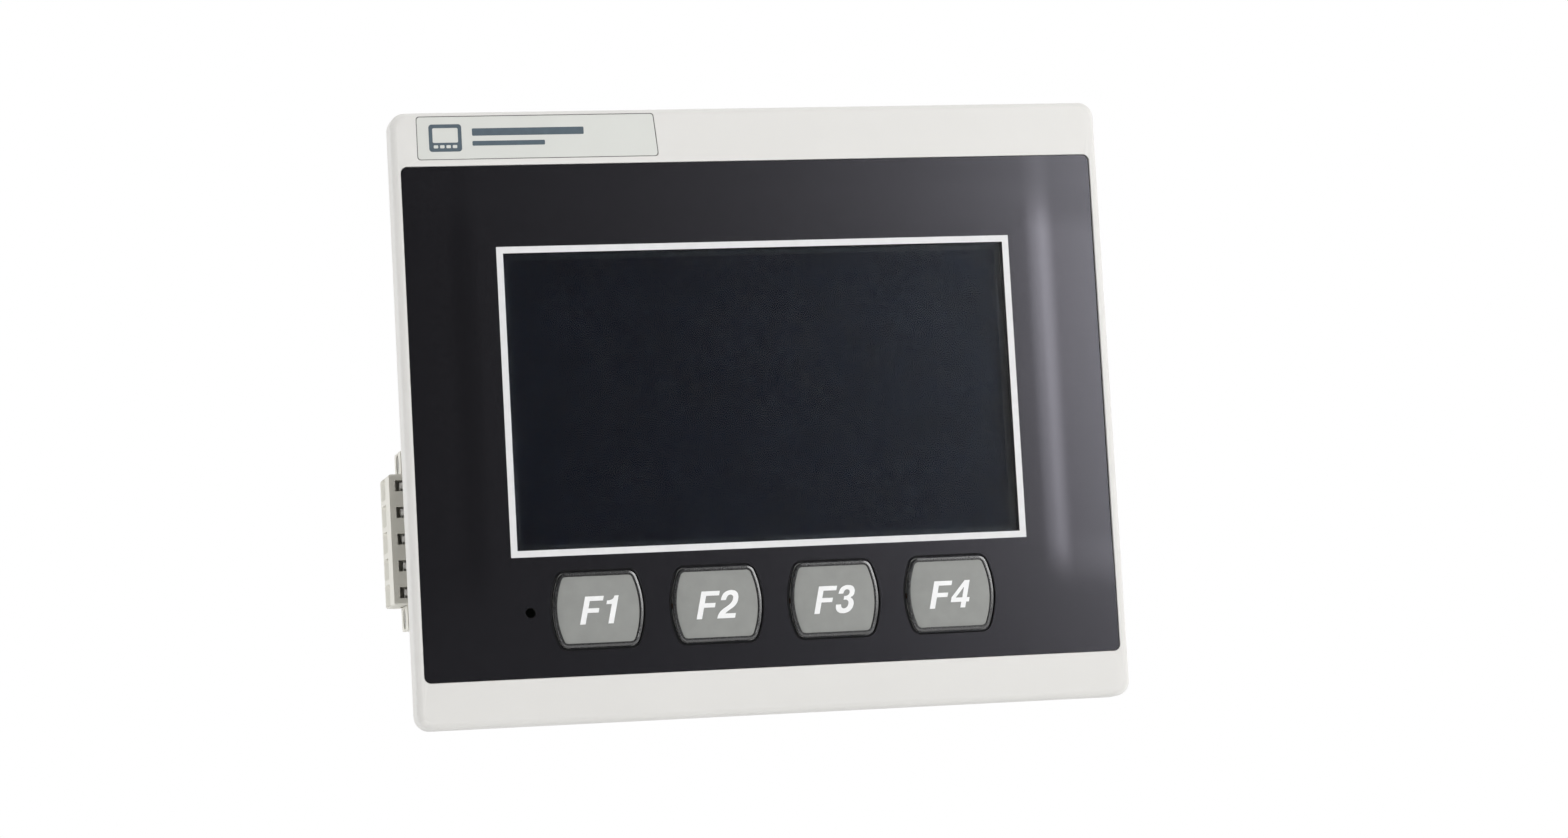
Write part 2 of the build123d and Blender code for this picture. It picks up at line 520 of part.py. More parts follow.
def ethernet_jack():
    """A shielded network jack that faces the foot, with its row of contact wires."""
    x, y0, z0 = ETHERNET_X, BOARD_REAR, PORT_FACE_Z
    depth, latch_half, lamp_half = 12.0, 3.2, 1.4
    shell = block(x - ETHERNET_W / 2, x + ETHERNET_W / 2, y0, y0 + ETHERNET_H, z0, z0 + ETHERNET_L)
    shell -= block(x - 6, x + 6, y0 + 2.2, y0 + 9.2, z0, z0 + depth)
    shell -= block(x - latch_half, x + latch_half, y0 + 9.2, y0 + 11.6, z0, z0 + depth)
    for lamp_x in (x - 5.2, x + 5.2):
        shell -= block(lamp_x - lamp_half, lamp_x + lamp_half, y0 + 10, y0 + 12, z0, z0 + 0.3)
    wires = []
    for i in range(8):
        wx = x + (i - 3.5) * 1.02
        wires.append(block(wx - 0.2, wx + 0.2, y0 + 2.2, y0 + 2.6, z0 + 5, z0 + depth))
    return [shell] + wires


def serial_socket():
    """A round eight-way socket that faces the foot."""
    x, y, z0 = SERIAL_X, BOARD_REAR + SERIAL_H / 2, PORT_FACE_Z
    depth, insert_r, hole_r = 8.0, 3.7, 0.5
    shell = block(x - SERIAL_W / 2, x + SERIAL_W / 2, BOARD_REAR, BOARD_REAR + SERIAL_H, z0, z0 + SERIAL_L)
    shell -= bar_z(4.75, z0, z0 + depth, x, y)
    insert = bar_z(insert_r, z0 + 0.4, z0 + depth, x, y)
    rows = ((-1.9, (-1.3, 0, 1.3)), (0.1, (-2.4, 0, 2.4)), (2.0, (-1.2, 1.2)))
    for dy, places in rows:
        for dx in places:
            insert -= bar_z(hole_r, z0, z0 + 6, x + dx, y + dy)
    key = block(x - 1.0, x + 1.0, y - 4.0, y - 2.9, z0, z0 + 6)
    return shell + (insert - key)


def usb_device_port():
    x, y0, z0 = USB_DEVICE_X, BOARD_REAR, PORT_FACE_Z
    half, wall, depth = USB_DEVICE_W / 2, 0.4, 7.0
    shell = block(x - half, x + half, y0, y0 + USB_DEVICE_H, z0, z0 + USB_DEVICE_L)
    cavity_half = half - wall - 0.05
    shell -= block(x - cavity_half, x + cavity_half, y0 + wall, y0 + USB_DEVICE_H - wall, z0, z0 + depth)
    return shell + block(x - 2.0, x + 2.0, y0 + 1.9, y0 + 2.7, z0 + 0.8, z0 + depth + 0.1)


def usb_host_port():
    face, y0 = INNER_W / 2 - 0.2, BOARD_REAR
    z0, z1 = USB_HOST_Z - USB_HOST_W / 2, USB_HOST_Z + USB_HOST_W / 2
    depth, wall = 13.0, 1.05
    shell = block(face - USB_HOST_L, face, y0, y0 + USB_HOST_H, z0, z1)
    shell -= block(face - depth, face, y0 + 0.4, y0 + 5.5, z0 + wall, z1 - wall)
    return shell + block(face - depth - 0.1, face - 1.2, y0 + 3.3, y0 + 5.1, z0 + 1.9, z1 - 1.9)


def card_socket():
    face, y0 = INNER_W / 2 - 0.3, BOARD_REAR
    half, slot_half = CARD_W / 2, CARD_W / 2 - 1.4
    shell = block(face - CARD_L, face, y0, y0 + CARD_H, CARD_Z - half, CARD_Z + half)
    return shell - block(face - 14, face, y0 + 0.6, y0 + 1.5, CARD_Z - slot_half, CARD_Z + slot_half)


def battery_holder():
    x, z = BATTERY_XZ
    floor, rim, clip_t = BOARD_REAR + 1.0, BOARD_REAR + 4.6, 0.5
    cup = rod(BATTERY_R + 1.4, BOARD_REAR, rim, x, z)
    cup -= rod(BATTERY_R + 0.15, floor, rim, x, z)
    cup -= slab(9, 30, floor + 0.6, rim, x, z)
    return cup + slab(5, BATTERY_R + 4, rim, rim + clip_t, x + 8.2, z)


def coin_cell():
    x, z = BATTERY_XZ
    y0, step_t = BOARD_REAR + 1.05, 0.35
    cell = rod(BATTERY_R, y0, y0 + BATTERY_T, x, z)
    cell = fillet(edges_at(cell, y0), 0.4)
    return cell - (rod(BATTERY_R, y0, y0 + step_t, x, z) - rod(BATTERY_R - 1.4, y0, y0 + step_t, x, z))


def cable_socket(width, x, z):
    """A low socket on the board's front side, where a flat cable ends."""
    half = width / 2 + 2
    return block(x - half, x + half, BOARD_FRONT - CABLE_SOCKET_T, BOARD_FRONT, z, z + CABLE_SOCKET_H)


def flex_cables():
    """Display, touch and keypad flat cables, with the sockets that they enter on the board."""
    cable_y = BOARD_FRONT - CABLE_SOCKET_T / 2
    foot, rise = DISPLAY_Z - MODULE_H / 2, 9.0
    # width, place, depth where it leaves the module, and how far below the module it starts and turns
    routes = (
        (20, -4.0, MODULE_FRONT + 2.2, 0.2, 1.1),
        (9, 16.0, CIRCUIT_FRONT + 0.7, 0.1, 1.0),
    )
    parts = []
    for width, x, start_y, start, turn in routes:
        points = [
            (x, start_y, foot - start),
            (x, start_y, foot - turn),
            (x, cable_y, foot - turn),
            (x, cable_y, foot + rise),
        ]
        parts.append(ribbon(width, 0.25, points, 0.7))
        parts.append(cable_socket(width, x, foot + rise))
    points = [
        (KEYPAD_TAIL_X, FLOOR - 0.13, KEYPAD_TAIL_Z),
        (KEYPAD_TAIL_X, cable_y, KEYPAD_TAIL_Z),
        (KEYPAD_TAIL_X, cable_y, KEYPAD_TAIL_Z + rise),
    ]
    parts.append(ribbon(KEYPAD_TAIL_W, KEYPAD_TAIL_T, points, 1.2))
    parts.append(cable_socket(KEYPAD_TAIL_W, KEYPAD_TAIL_X, KEYPAD_TAIL_Z + rise))
    return parts


# ========================================================== screw terminals
def pole_places(poles):
    return [(i - (poles - 1) / 2) * PITCH for i in range(poles)]


def wire_entry(z):
    """The funnel that a wire goes in by: it opens towards the rear, where the wires come from."""
    throat = Plane(origin=(CAGE_X1, THROAT_Y, z), x_dir=(0, 1, 0), z_dir=(1, 0, 0))
    mouth = Plane(origin=(PLUG_L, MOUTH_Y, z), x_dir=(0, 1, 0), z_dir=(1, 0, 0))
    inner = RectangleRounded(THROAT_SIZE, THROAT_SIZE, MOUTH_CORNER)
    return loft([throat * inner, mouth * RectangleRounded(MOUTH_D, MOUTH_W, MOUTH_CORNER)])


def flange(half, side):
    """An ear at one end of a plug, with its outer corners rounded."""
    z0, z1 = sorted((side * (half - 0.5), side * FLANGE_END))
    ear = block(0, FLANGE_L, FLANGE_FRONT, FLANGE_REAR, z0, z1)
    return fillet(ear.edges().filter_by(Axis.X).group_by(Axis.Z)[-1 if side > 0 else 0], 0.8)


def plug_body(poles, flanged):
    """The plug's moulding, in its local frame, with a chamber, wire entry and test window for each pole."""
    half = poles * PITCH / 2 - 0.35
    profile = Polyline(
        (0, PLUG_FRONT),
        (PLUG_L, PLUG_FRONT),
        (PLUG_L, PLUG_REAR - 1.6),
        (PLUG_L - 1.6, PLUG_REAR),
        (0.8, PLUG_REAR),
        (0, PLUG_REAR - 0.8),
        close=True,
    )
    body = Pos(0, 0, -half) * extrude(make_face(profile), 2 * half)
    body = chamfer(body.edges().group_by(Axis.Z)[0] + body.edges().group_by(Axis.Z)[-1], 0.25)
    body += block(-NOSE_L, 0, NOSE_FRONT, NOSE_REAR, -half + 0.15, half - 0.15)
    if flanged:
        seat, end = FLANGE_L - FLANGE_HEAD_T - 0.3, FLANGE_L + 1
        for side in (-1, 1):
            body += flange(half, side)
            body -= bar_x(FLANGE_SHANK_R + 0.15, -1, end, CONTACT_Y, side * FLANGE_Z)
            body -= bar_x(FLANGE_BORE_R, seat, end, CONTACT_Y, side * FLANGE_Z)
    for z in pole_places(poles):
        for cut in pole_cuts(z):
            body -= cut
    return body


def pole_cuts(z):
    """What one pole takes out of the moulding."""
    gap, window = 0.15, TEST_WINDOW / 2
    cage = CAGE_W / 2 + FIT_GAP
    return [
        block(CAGE_X0 - gap, CAGE_X1 + gap, CAGE_FRONT - FIT_GAP, CHAMBER_REAR, z - cage, z + cage),
        rod(CLAMP_SHANK_R + FIT_GAP, CHAMBER_REAR, CLAMP_HEAD_Y, SCREW_X, z),
        rod(CLAMP_HEAD_R + 0.2, CLAMP_HEAD_Y - FIT_GAP, PLUG_REAR, SCREW_X, z),
        block(-NOSE_L, CAGE_X0, CONTACT_Y - 1.7, CONTACT_Y + 1.7, z - 1.3, z + 1.3),
        wire_entry(z),
        block(WINDOW_X - window, WINDOW_X + window, PLUG_FRONT, CAGE_FRONT, z - window, z + window),
    ]


def plug_contacts(poles):
    """One contact per pole: a sprung socket for the header's pin, and the bar that the wire clamps to."""
    back, neck, wide = -NOSE_L + 0.6, -1.0, CONTACT_HALF_W
    parts = []
    for z in pole_places(poles):
        socket = block(back, neck, CONTACT_Y - 1.5, CONTACT_Y + 1.5, z - wide, z + wide)
        socket -= block(back, neck - 0.6, CONTACT_Y - 0.6, CONTACT_Y + 0.6, z - 0.6, z + 0.6)
        parts.append(socket + block(neck, CAGE_X1 - 0.2, CONTACT_Y - 0.4, CONTACT_Y + 0.4, z - wide, z + wide))
    return parts


def clamp_cage(z):
    """The lift clamp: a square sleeve that the screw draws up, so that it pulls the wire to the bar."""
    half, inner = CAGE_W / 2, CAGE_W / 2 - CAGE_WALL + 0.1
    y0, y1 = CAGE_FRONT + CAGE_WALL, CAGE_REAR - CAGE_TOP_WALL
    cage = block(CAGE_X0, CAGE_X1, CAGE_FRONT, CAGE_REAR, z - half, z + half)
    cage = fillet(cage.edges().filter_by(Axis.X), 0.4)
    cage -= block(CAGE_X0, CAGE_X1, y0, y1, z - inner, z + inner)
    return cage - rod(CLAMP_SHANK_R + 0.05, y1, CAGE_REAR, SCREW_X, z)


def clamp_screw(z):
    """A slotted screw along Y. Its tip bears on the contact bar, and its head faces the rear."""
    top = CLAMP_HEAD_Y + CLAMP_HEAD_T
    screw = rod(CLAMP_HEAD_R, CLAMP_HEAD_Y, top, SCREW_X, z)
    screw = fillet(edges_at(screw, top), 0.25)
    screw += rod(CLAMP_SHANK_R, CONTACT_Y + 0.45, CLAMP_HEAD_Y, SCREW_X, z)
    return screw - slab(2 * CLAMP_HEAD_R + 1, SCREW_SLOT, top - 0.9, top, SCREW_X, z)


def flange_screw(z):
    """A captive slotted screw along X that ties a plug's ear to its header."""
    seat = FLANGE_L - FLANGE_HEAD_T - 0.2
    end, slot = seat + FLANGE_HEAD_T, SCREW_SLOT / 2
    head = bar_x(FLANGE_HEAD_R, seat, end, CONTACT_Y, z)
    head = fillet(head.edges().filter_by_position(Axis.X, end - 0.001, end + 0.001), 0.3)
    screw = head + bar_x(FLANGE_SHANK_R, FLANGE_TIP, seat, CONTACT_Y, z)
    return screw - block(end - 0.8, end, CONTACT_Y - slot, CONTACT_Y + slot, z - 3, z + 3)


def header(poles, flanged):
    """The board header that a plug enters, open towards the plug."""
    half = poles * PITCH / 2 + (5.0 if flanged else 0.8)
    mouth = poles * PITCH / 2 - FIT_GAP
    body = block(HEADER_BACK, HEADER_FACE, BOARD_REAR, HEADER_REAR, -half, half)
    body -= block(HEADER_CAVITY, HEADER_FACE, NOSE_FRONT - FIT_GAP, NOSE_REAR + FIT_GAP, -mouth, mouth)
    if flanged:
        for side in (-1, 1):
            body -= bar_x(FLANGE_SHANK_R + 0.05, FLANGE_TIP - 0.5, HEADER_FACE, CONTACT_Y, side * FLANGE_Z)
    for pin in pins(poles):
        body -= pin
    return body


def pins(poles):
    """Square header pins, bent down through the board."""
    half, tail = PIN_HALF, BOARD_FRONT - 1.4
    parts = []
    for z in pole_places(poles):
        level = block(PIN_BEND - half, PIN_TIP, CONTACT_Y - half, CONTACT_Y + half, z - half, z + half)
        leg = block(PIN_BEND - half, PIN_BEND + half, tail, CONTACT_Y, z - half, z + half)
        parts.append(level + leg)
    return parts


# ================================================================= all nodes
def nodes():
    """Every sub-part by its node's name: one solid, or a list of identical or grouped solids."""
    made = {
        "front_bezel": front_bezel(),
        "panel_seal": panel_seal(),
        "name_plate": name_plate(),
        "front_overlay": front_overlay(),
        "overlay_window": overlay_window(),
        "overlay_adhesive": overlay_adhesive(),
        "status_led_lens": status_led_lens(),
        "snap_domes": snap_domes(),
        "keypad_circuit": keypad_circuit(),
        "touch_screen": touch_screen(),
        "display_seal": display_seal(),
        "display_frame": display_frame(),
        "display_glass": display_glass(),
        "display_backlight": display_backlight(),
        "display_bracket": display_bracket(),
        "bracket_screws": bracket_screws(),
        "rear_cover": rear_cover(),
        "rating_label": rating_label(),
        "case_screws": case_screws(),
        "main_board": main_board(),
        "board_screws": board_screws(),
        "circuit_chips": circuit_chips(),
        "supply_components": supply_components(),
        "ethernet_jack": ethernet_jack(),
        "serial_socket": serial_socket(),
        "usb_device_port": usb_device_port(),
        "usb_host_port": usb_host_port(),
        "card_socket": card_socket(),
        "battery_holder": battery_holder(),
        "coin_cell": coin_cell(),
        "flex_cables": flex_cables(),
        "comm_header": COMM_PLACE * header(COMM_POLES, True),
        "power_header": POWER_PLACE * header(POWER_POLES, False),
        "comm_flange_screw_lower": COMM_PLACE * flange_screw(FLANGE_Z),
        "comm_flange_screw_upper": COMM_PLACE * flange_screw(-FLANGE_Z),
    }
    made["header_pins"] = [COMM_PLACE * p for p in pins(COMM_POLES)]
    made["header_pins"] += [POWER_PLACE * p for p in pins(POWER_POLES)]
    for i, x in enumerate(KEY_X, start=1):
        made[f"key_f{i}"] = function_key(x)
    terminals = (("comm", COMM_POLES, COMM_PLACE, True), ("power", POWER_POLES, POWER_PLACE, False))
    for name, poles, place, flanged in terminals:
        made[f"{name}_plug_body"] = place * plug_body(poles, flanged)
        made[f"{name}_plug_contacts"] = [place * c for c in plug_contacts(poles)]
        for i, z in enumerate(pole_places(poles), start=1):
            made[f"{name}_clamp_screw_{i}"] = place * clamp_screw(z)
            made[f"{name}_clamp_cage_{i}"] = place * clamp_cage(z)
    return made


def write_parts():
    os.makedirs("parts", exist_ok=True)
    for name, shape in nodes().items():
        shape = Compound(children=shape) if isinstance(shape, list) else shape
        export_step(shape, f"parts/{name}.step")


write_parts()
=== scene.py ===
"""Looks for the panel-mounted operator terminal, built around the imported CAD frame.

Metres. +X is to the user's right, +Y goes through the panel to the rear, +Z is up.
Outlines are worked out in millimetres from the frame's boxes, and scaled when a mesh is made.
"""

import math

import bmesh
import bpy
from mathutils import Matrix, Vector


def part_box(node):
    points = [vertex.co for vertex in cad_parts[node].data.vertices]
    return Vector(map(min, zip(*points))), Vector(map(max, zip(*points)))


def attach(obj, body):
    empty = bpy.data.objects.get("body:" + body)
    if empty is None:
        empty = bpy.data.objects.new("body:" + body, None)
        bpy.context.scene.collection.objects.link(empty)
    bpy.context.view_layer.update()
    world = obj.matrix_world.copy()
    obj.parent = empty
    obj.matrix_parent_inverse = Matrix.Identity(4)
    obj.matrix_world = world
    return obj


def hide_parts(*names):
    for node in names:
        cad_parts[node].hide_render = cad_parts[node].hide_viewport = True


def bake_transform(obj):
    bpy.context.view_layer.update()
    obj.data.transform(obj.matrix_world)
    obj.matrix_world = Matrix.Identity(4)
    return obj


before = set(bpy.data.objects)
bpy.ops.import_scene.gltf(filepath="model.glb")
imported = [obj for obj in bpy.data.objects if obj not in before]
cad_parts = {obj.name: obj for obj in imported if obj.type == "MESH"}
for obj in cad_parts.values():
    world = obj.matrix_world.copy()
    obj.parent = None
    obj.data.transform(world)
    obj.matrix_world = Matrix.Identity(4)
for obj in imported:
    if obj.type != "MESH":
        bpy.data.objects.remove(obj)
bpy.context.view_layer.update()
MM = 0.001
scene = bpy.context.scene
scene.view_settings.view_transform = "Standard"


# ------------------------------------------------------------- shader helpers
# the sockets that the mix node uses for colours
MIX_FACTOR, MIX_A, MIX_B, MIX_RESULT = 0, 6, 7, 2
# where most of a noise texture's values lie, and an edge's pointiness from dull to sharp
NOISE_SPAN = (0.3, 0.7)
EDGE_SPAN = (0.52, 0.62)


def new_material(name):
    mat = bpy.data.materials.new(name)
    mat.use_nodes = True
    tree = mat.node_tree
    return mat, tree, tree.nodes["Principled BSDF"]


def node(tree, kind, **values):
    """A new node: each value goes to the input of that name, or else to the setting."""
    made = tree.nodes.new(kind)
    for key, value in values.items():
        if key in made.inputs:
            made.inputs[key].default_value = value
        else:
            setattr(made, key, value)
    return made


def noise(tree, scale, detail=2.0, roughness=0.5, stretch=None):
    """A noise texture in the piece's own coordinates, in metres."""
    out = node(tree, "ShaderNodeTexCoord").outputs["Object"]
    if stretch:
        mapping = node(tree, "ShaderNodeMapping", Scale=stretch)
        tree.links.new(out, mapping.inputs["Vector"])
        out = mapping.outputs["Vector"]
    texture = node(tree, "ShaderNodeTexNoise", Scale=scale, Detail=detail, Roughness=roughness)
    tree.links.new(out, texture.inputs["Vector"])
    return texture.outputs["Fac"]


def remap(tree, source, span, result=(0.0, 1.0), **settings):
    """Maps a value from one range to another, and holds it there beyond both ends."""
    made = node(tree, "ShaderNodeMapRange", **settings)
    for key, value in zip(("From Min", "From Max", "To Min", "To Max"), (*span, *result)):
        made.inputs[key].default_value = value
    tree.links.new(source, made.inputs["Value"])
    return made.outputs["Result"]


def mix_colours(tree, factor, first, second):
    """Mixes two colours. The first is a colour or another node's output."""
    made = node(tree, "ShaderNodeMix", data_type="RGBA")
    if isinstance(first, bpy.types.NodeSocket):
        tree.links.new(first, made.inputs[MIX_A])
    else:
        made.inputs[MIX_A].default_value = first
    made.inputs[MIX_B].default_value = second
    tree.links.new(factor, made.inputs[MIX_FACTOR])
    return made.outputs[MIX_RESULT]


def add_relief(tree, bsdf, height, distance, strength=1.0):
    """Fine relief, as deep as distance in metres."""
    bump = node(tree, "ShaderNodeBump", Strength=strength, Distance=distance)
    tree.links.new(height, bump.inputs["Height"])
    tree.links.new(bump.outputs["Normal"], bsdf.inputs["Normal"])


def tone(colour, factor):
    return (*[min(1.0, c * factor) for c in colour], 1.0)


def surface(
    name,
    colour,
    rough=0.5,
    metal=0.0,
    shade=0.04,
    shade_scale=60.0,
    rough_shade=0.04,
    grain=0.0,
    grain_scale=2500.0,
    stretch=None,
    wear=0.0,
    **sockets,
):
    """An opaque material whose colour, roughness and fine relief all vary."""
    mat, tree, bsdf = new_material(name)
    broad = remap(tree, noise(tree, shade_scale, 4.0), NOISE_SPAN)
    out = mix_colours(tree, broad, tone(colour, 1 - shade), tone(colour, 1 + shade))
    if wear:
        # worn convex edges are a little paler
        geometry = node(tree, "ShaderNodeNewGeometry")
        edge = remap(tree, geometry.outputs["Pointiness"], EDGE_SPAN)
        out = mix_colours(tree, edge, out, tone(colour, 1 + wear))
    tree.links.new(out, bsdf.inputs["Base Color"])
    fine = noise(tree, grain_scale, 3.0, 0.6, stretch)
    gloss = remap(tree, fine, NOISE_SPAN, (rough - rough_shade, rough + rough_shade))
    tree.links.new(gloss, bsdf.inputs["Roughness"])
    if grain:
        add_relief(tree, bsdf, fine, grain)
    bsdf.inputs["Metallic"].default_value = metal
    for key, value in sockets.items():
        bsdf.inputs[key.replace("_", " ")].default_value = value
    return mat


def clear(name, colour, rough, ior):
    """A clear film or glass whose roughness varies a little."""
    mat, tree, bsdf = new_material(name)
    gloss = remap(tree, noise(tree, 900.0), NOISE_SPAN, (rough * 0.8, rough * 1.2))
    tree.links.new(gloss, bsdf.inputs["Roughness"])
    bsdf.inputs["Base Color"].default_value = (*colour, 1)
    bsdf.inputs["Transmission Weight"].default_value = 1.0
    bsdf.inputs["IOR"].default_value = ior
    return mat


def solder_mask():
    """Green solder mask over copper: traces raise it and make it a little paler."""
    mat, tree, bsdf = new_material("solder_mask")
    coords = node(tree, "ShaderNodeTexCoord")
    mapping = node(tree, "ShaderNodeMapping", Rotation=(math.radians(90), 0, 0))
    tree.links.new(coords.outputs["Object"], mapping.inputs["Vector"])
    shades = {"Color1": (1, 1, 1, 1), "Color2": (0.2, 0.2, 0.2, 1), "Mortar": (0, 0, 0, 1)}
    brick = node(tree, "ShaderNodeTexBrick", Scale=260.0, **shades, **{"Mortar Size": 0.012})
    tree.links.new(mapping.outputs["Vector"], brick.inputs["Vector"])
    traces = brick.outputs["Color"]
    green = mix_colours(tree, traces, (0.004, 0.045, 0.018, 1), (0.012, 0.12, 0.045, 1))
    tree.links.new(green, bsdf.inputs["Base Color"])
    add_relief(tree, bsdf, traces, 3e-5, 0.6)
    gloss = remap(tree, noise(tree, 500.0), NOISE_SPAN, (0.24, 0.36))
    tree.links.new(gloss, bsdf.inputs["Roughness"])
    return mat


# ------------------------------------------------------------------ materials
# what the dark films have in common, and what the white inks do
FILM = {"shade": 0.1, "grain": 8e-7, "grain_scale": 5200}
INK = {"shade": 0.03, "shade_scale": 700, "grain": 1e-6}

MATERIALS = {
    # mouldings
    "bezel": surface(
        "bezel_plastic",
        (0.737, 0.727, 0.702),
        0.5,
        shade=0.015,
        shade_scale=35,
        grain=6e-6,
        grain_scale=3200,
        wear=0.05,
    ),
    "cover": surface("cover_plastic", (0.74, 0.725, 0.69), 0.5, shade=0.02, grain=9e-6, grain_scale=2200),
    "plate": surface("name_plate_plastic", (0.70, 0.71, 0.675), 0.32, shade=0.02, grain=1e-6),
    "terminal": surface(
        "terminal_polyamide", (0.715, 0.70, 0.632), 0.44, shade=0.03, shade_scale=120, grain=3e-6, wear=0.06
    ),
    "black": surface("black_nylon", (0.018, 0.018, 0.019), 0.45, grain=3e-6, wear=0.3),
    "tray": surface("backlight_tray", (0.8, 0.8, 0.77), 0.5, shade=0.03),
    # painted shade: a dark ring that stands in for the shadow in the gap round the name plate
    "gap": surface("painted_gap_shade", (0.16, 0.155, 0.15), 0.7, shade=0.15, shade_scale=500),
    # films and inks
    "overlay": surface(
        "overlay_film", (0.0012, 0.0011, 0.0016), 0.22, IOR=1.88, Specular_Tint=(0.9, 0.885, 1.0, 1.0), **FILM
    ),
    "key_rim": surface("key_rim", (0.006, 0.006, 0.007), 0.27, IOR=1.95, **FILM),
    "skirt": surface("skirt_film", (0.0022, 0.0022, 0.0026), 0.4, IOR=1.3, **FILM),
    "key_face": surface(
        "key_face_ink",
        (0.27, 0.275, 0.262),
        0.42,
        shade=0.05,
        shade_scale=400,
        grain=1.5e-6,
        grain_scale=4500,
    ),
    "legend_ink": surface("legend_ink", (0.9, 0.9, 0.9), 0.42, **INK),
    "white_ink": surface("white_ink", (0.76, 0.76, 0.765), 0.42, **INK),
    "slate": surface("slate_ink", (0.085, 0.118, 0.145), 0.35, shade=0.06, shade_scale=900),
    "label": surface("label_film", (0.80, 0.81, 0.81), 0.36, shade=0.02, grain=1e-6),
    "adhesive": surface("adhesive", (0.7, 0.7, 0.66), 0.5),
    "flex": surface("polyimide", (0.30, 0.13, 0.025), 0.28, shade=0.15, shade_scale=300),
    "foam": surface("foam", (0.025, 0.025, 0.026), 0.9, grain=8e-5, grain_scale=2600),
    # the display and the lamp
    "window": clear("window_film", (1, 1, 1), 0.2, 1.24),
    "touch": clear("touch_glass", (0.8, 0.87, 1.0), 0.06, 1.12),
    "mask": surface("black_mask", (0.002, 0.002, 0.0022), 0.4),
    "lcd": surface(
        "lcd_polarizer",
        (0.004, 0.005, 0.0085),
        0.3,
        shade=0.1,
        shade_scale=30,
        IOR=1.24,
        Specular_Tint=(0.62, 0.8, 1.0, 1.0),
    ),
    "lens": surface("lamp_lens", (0.0008, 0.001, 0.0008), 0.12, shade=0.2, IOR=1.2),
    # metals
    "tin": surface(
        "tin_plate", (0.62, 0.61, 0.58), 0.34, 1.0, shade=0.06, rough_shade=0.1, stretch=(1, 8, 1), grain=1e-6
    ),
    "tin_matte": surface("tin_matte", (0.82, 0.81, 0.78), 0.45, 0.1, shade=0.05, grain=1e-6),
    "zinc": surface(
        "zinc_plate", (0.60, 0.60, 0.585), 0.32, 1.0, shade=0.06, rough_shade=0.1, grain=2e-6, wear=0.2
    ),
    "steel": surface("spring_steel", (0.6, 0.57, 0.5), 0.3, 1.0, shade=0.05),
    "nickel": surface("nickel_shell", (0.66, 0.64, 0.6), 0.22, 1.0, shade=0.05, rough_shade=0.08, grain=2e-6),
    "aluminium": surface("aluminium_can", (0.72, 0.72, 0.73), 0.3, 1.0, shade=0.04, grain=1e-6),
    # the board and its chips
    "board": solder_mask(),
    "epoxy": surface(
        "chip_epoxy", (0.022, 0.022, 0.024), 0.55, shade=0.1, grain=4e-6, grain_scale=6000, wear=0.3
    ),
}

FINISH = {
    "bezel": ["front_bezel"],
    "cover": ["rear_cover"],
    "foam": ["panel_seal", "display_seal"],
    "plate": ["name_plate"],
    "overlay": ["front_overlay"],
    "key_rim": ["key_f1", "key_f2", "key_f3", "key_f4"],
    "window": ["overlay_window"],
    "adhesive": ["overlay_adhesive"],
    "lens": ["status_led_lens"],
    "steel": ["snap_domes"],
    "flex": ["keypad_circuit", "flex_cables"],
    "touch": ["touch_screen"],
    "tin": ["display_frame", "comm_plug_contacts", "power_plug_contacts", "header_pins"],
    "lcd": ["display_glass"],
    "tray": ["display_backlight"],
    "zinc": ["display_bracket", "bracket_screws", "case_screws", "board_screws"],
    "label": ["rating_label"],
    "board": ["main_board"],
    "epoxy": ["circuit_chips"],
    "aluminium": ["supply_components"],
    "nickel": ["ethernet_jack", "usb_device_port", "usb_host_port", "card_socket", "coin_cell"],
    "black": ["serial_socket", "battery_holder"],
    "terminal": ["comm_header", "power_header", "comm_plug_body", "power_plug_body"],
}
# each clamp screw, flange screw and clamp cage is a node of its own
FINISH["zinc"] += [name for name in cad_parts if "_screw_" in name or "_cage_" in name]

for key, names in FINISH.items():
    for name in names:
        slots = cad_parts[name].data.materials
        slots.clear()
        slots.append(MATERIALS[key])


# ------------------------------------------------------------------- outlines
def steps(start, end, count):
    return [start + (end - start) * i / count for i in range(count + 1)]


def box_mm(name):
    low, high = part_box(name)
    return low / MM, high / MM


def middle(low, high):
    """The centre of a box seen from the front."""
    return (low.x + high.x) / 2, (low.z + high.z) / 2


def rect(x0, x1, z0, z1, r=0.0, count=6):
    """A rectangle's outline, with its corners rounded where r is given."""
    if not r:
        return [(x0, z0), (x1, z0), (x1, z1), (x0, z1)]
    out = []
    centres = ((x1 - r, z0 + r, -90), (x1 - r, z1 - r, 0), (x0 + r, z1 - r, 90), (x0 + r, z0 + r, 180))
    for cx, cz, turn in centres:
        for degrees in steps(turn, turn + 90, count):
            a = math.radians(degrees)
            out.append((cx + r * math.cos(a), cz + r * math.sin(a)))
    return out


def box_rect(low, high, grow=0.0, r=0.0):
    """A box's outline seen from the front, grown outwards."""
    return rect(low.x - grow, high.x + grow, low.z - grow, high.z + grow, r)


def rounded(points, r, count=6):
    """A convex outline, counter-clockwise, with its corners rounded."""
    out = []
    for i, point in enumerate(points):
        tip = Vector(point)
        before = (Vector(points[i - 1]) - tip).normalized()
        after = (Vector(points[(i + 1) % len(points)]) - tip).normalized()
        half = before.angle(after) / 2
        centre = tip + (before + after).normalized() * (r / math.sin(half))
        start = tip + before * (r / math.tan(half)) - centre
        for a in steps(0, math.pi - 2 * half, count):
            c, s = math.cos(a), math.sin(a)
            out.append((centre.x + start.x * c - start.y * s, centre.y + start.x * s + start.y * c))
    return out


def circle(cx, cz, r, sides=32):
    turns = steps(0, math.tau * (sides - 1) / sides, sides - 1)
    return [(cx + r * math.cos(a), cz + r * math.sin(a)) for a in turns]


def at_depth(loop, y):
    return [(x, y, z) for x, z in loop]


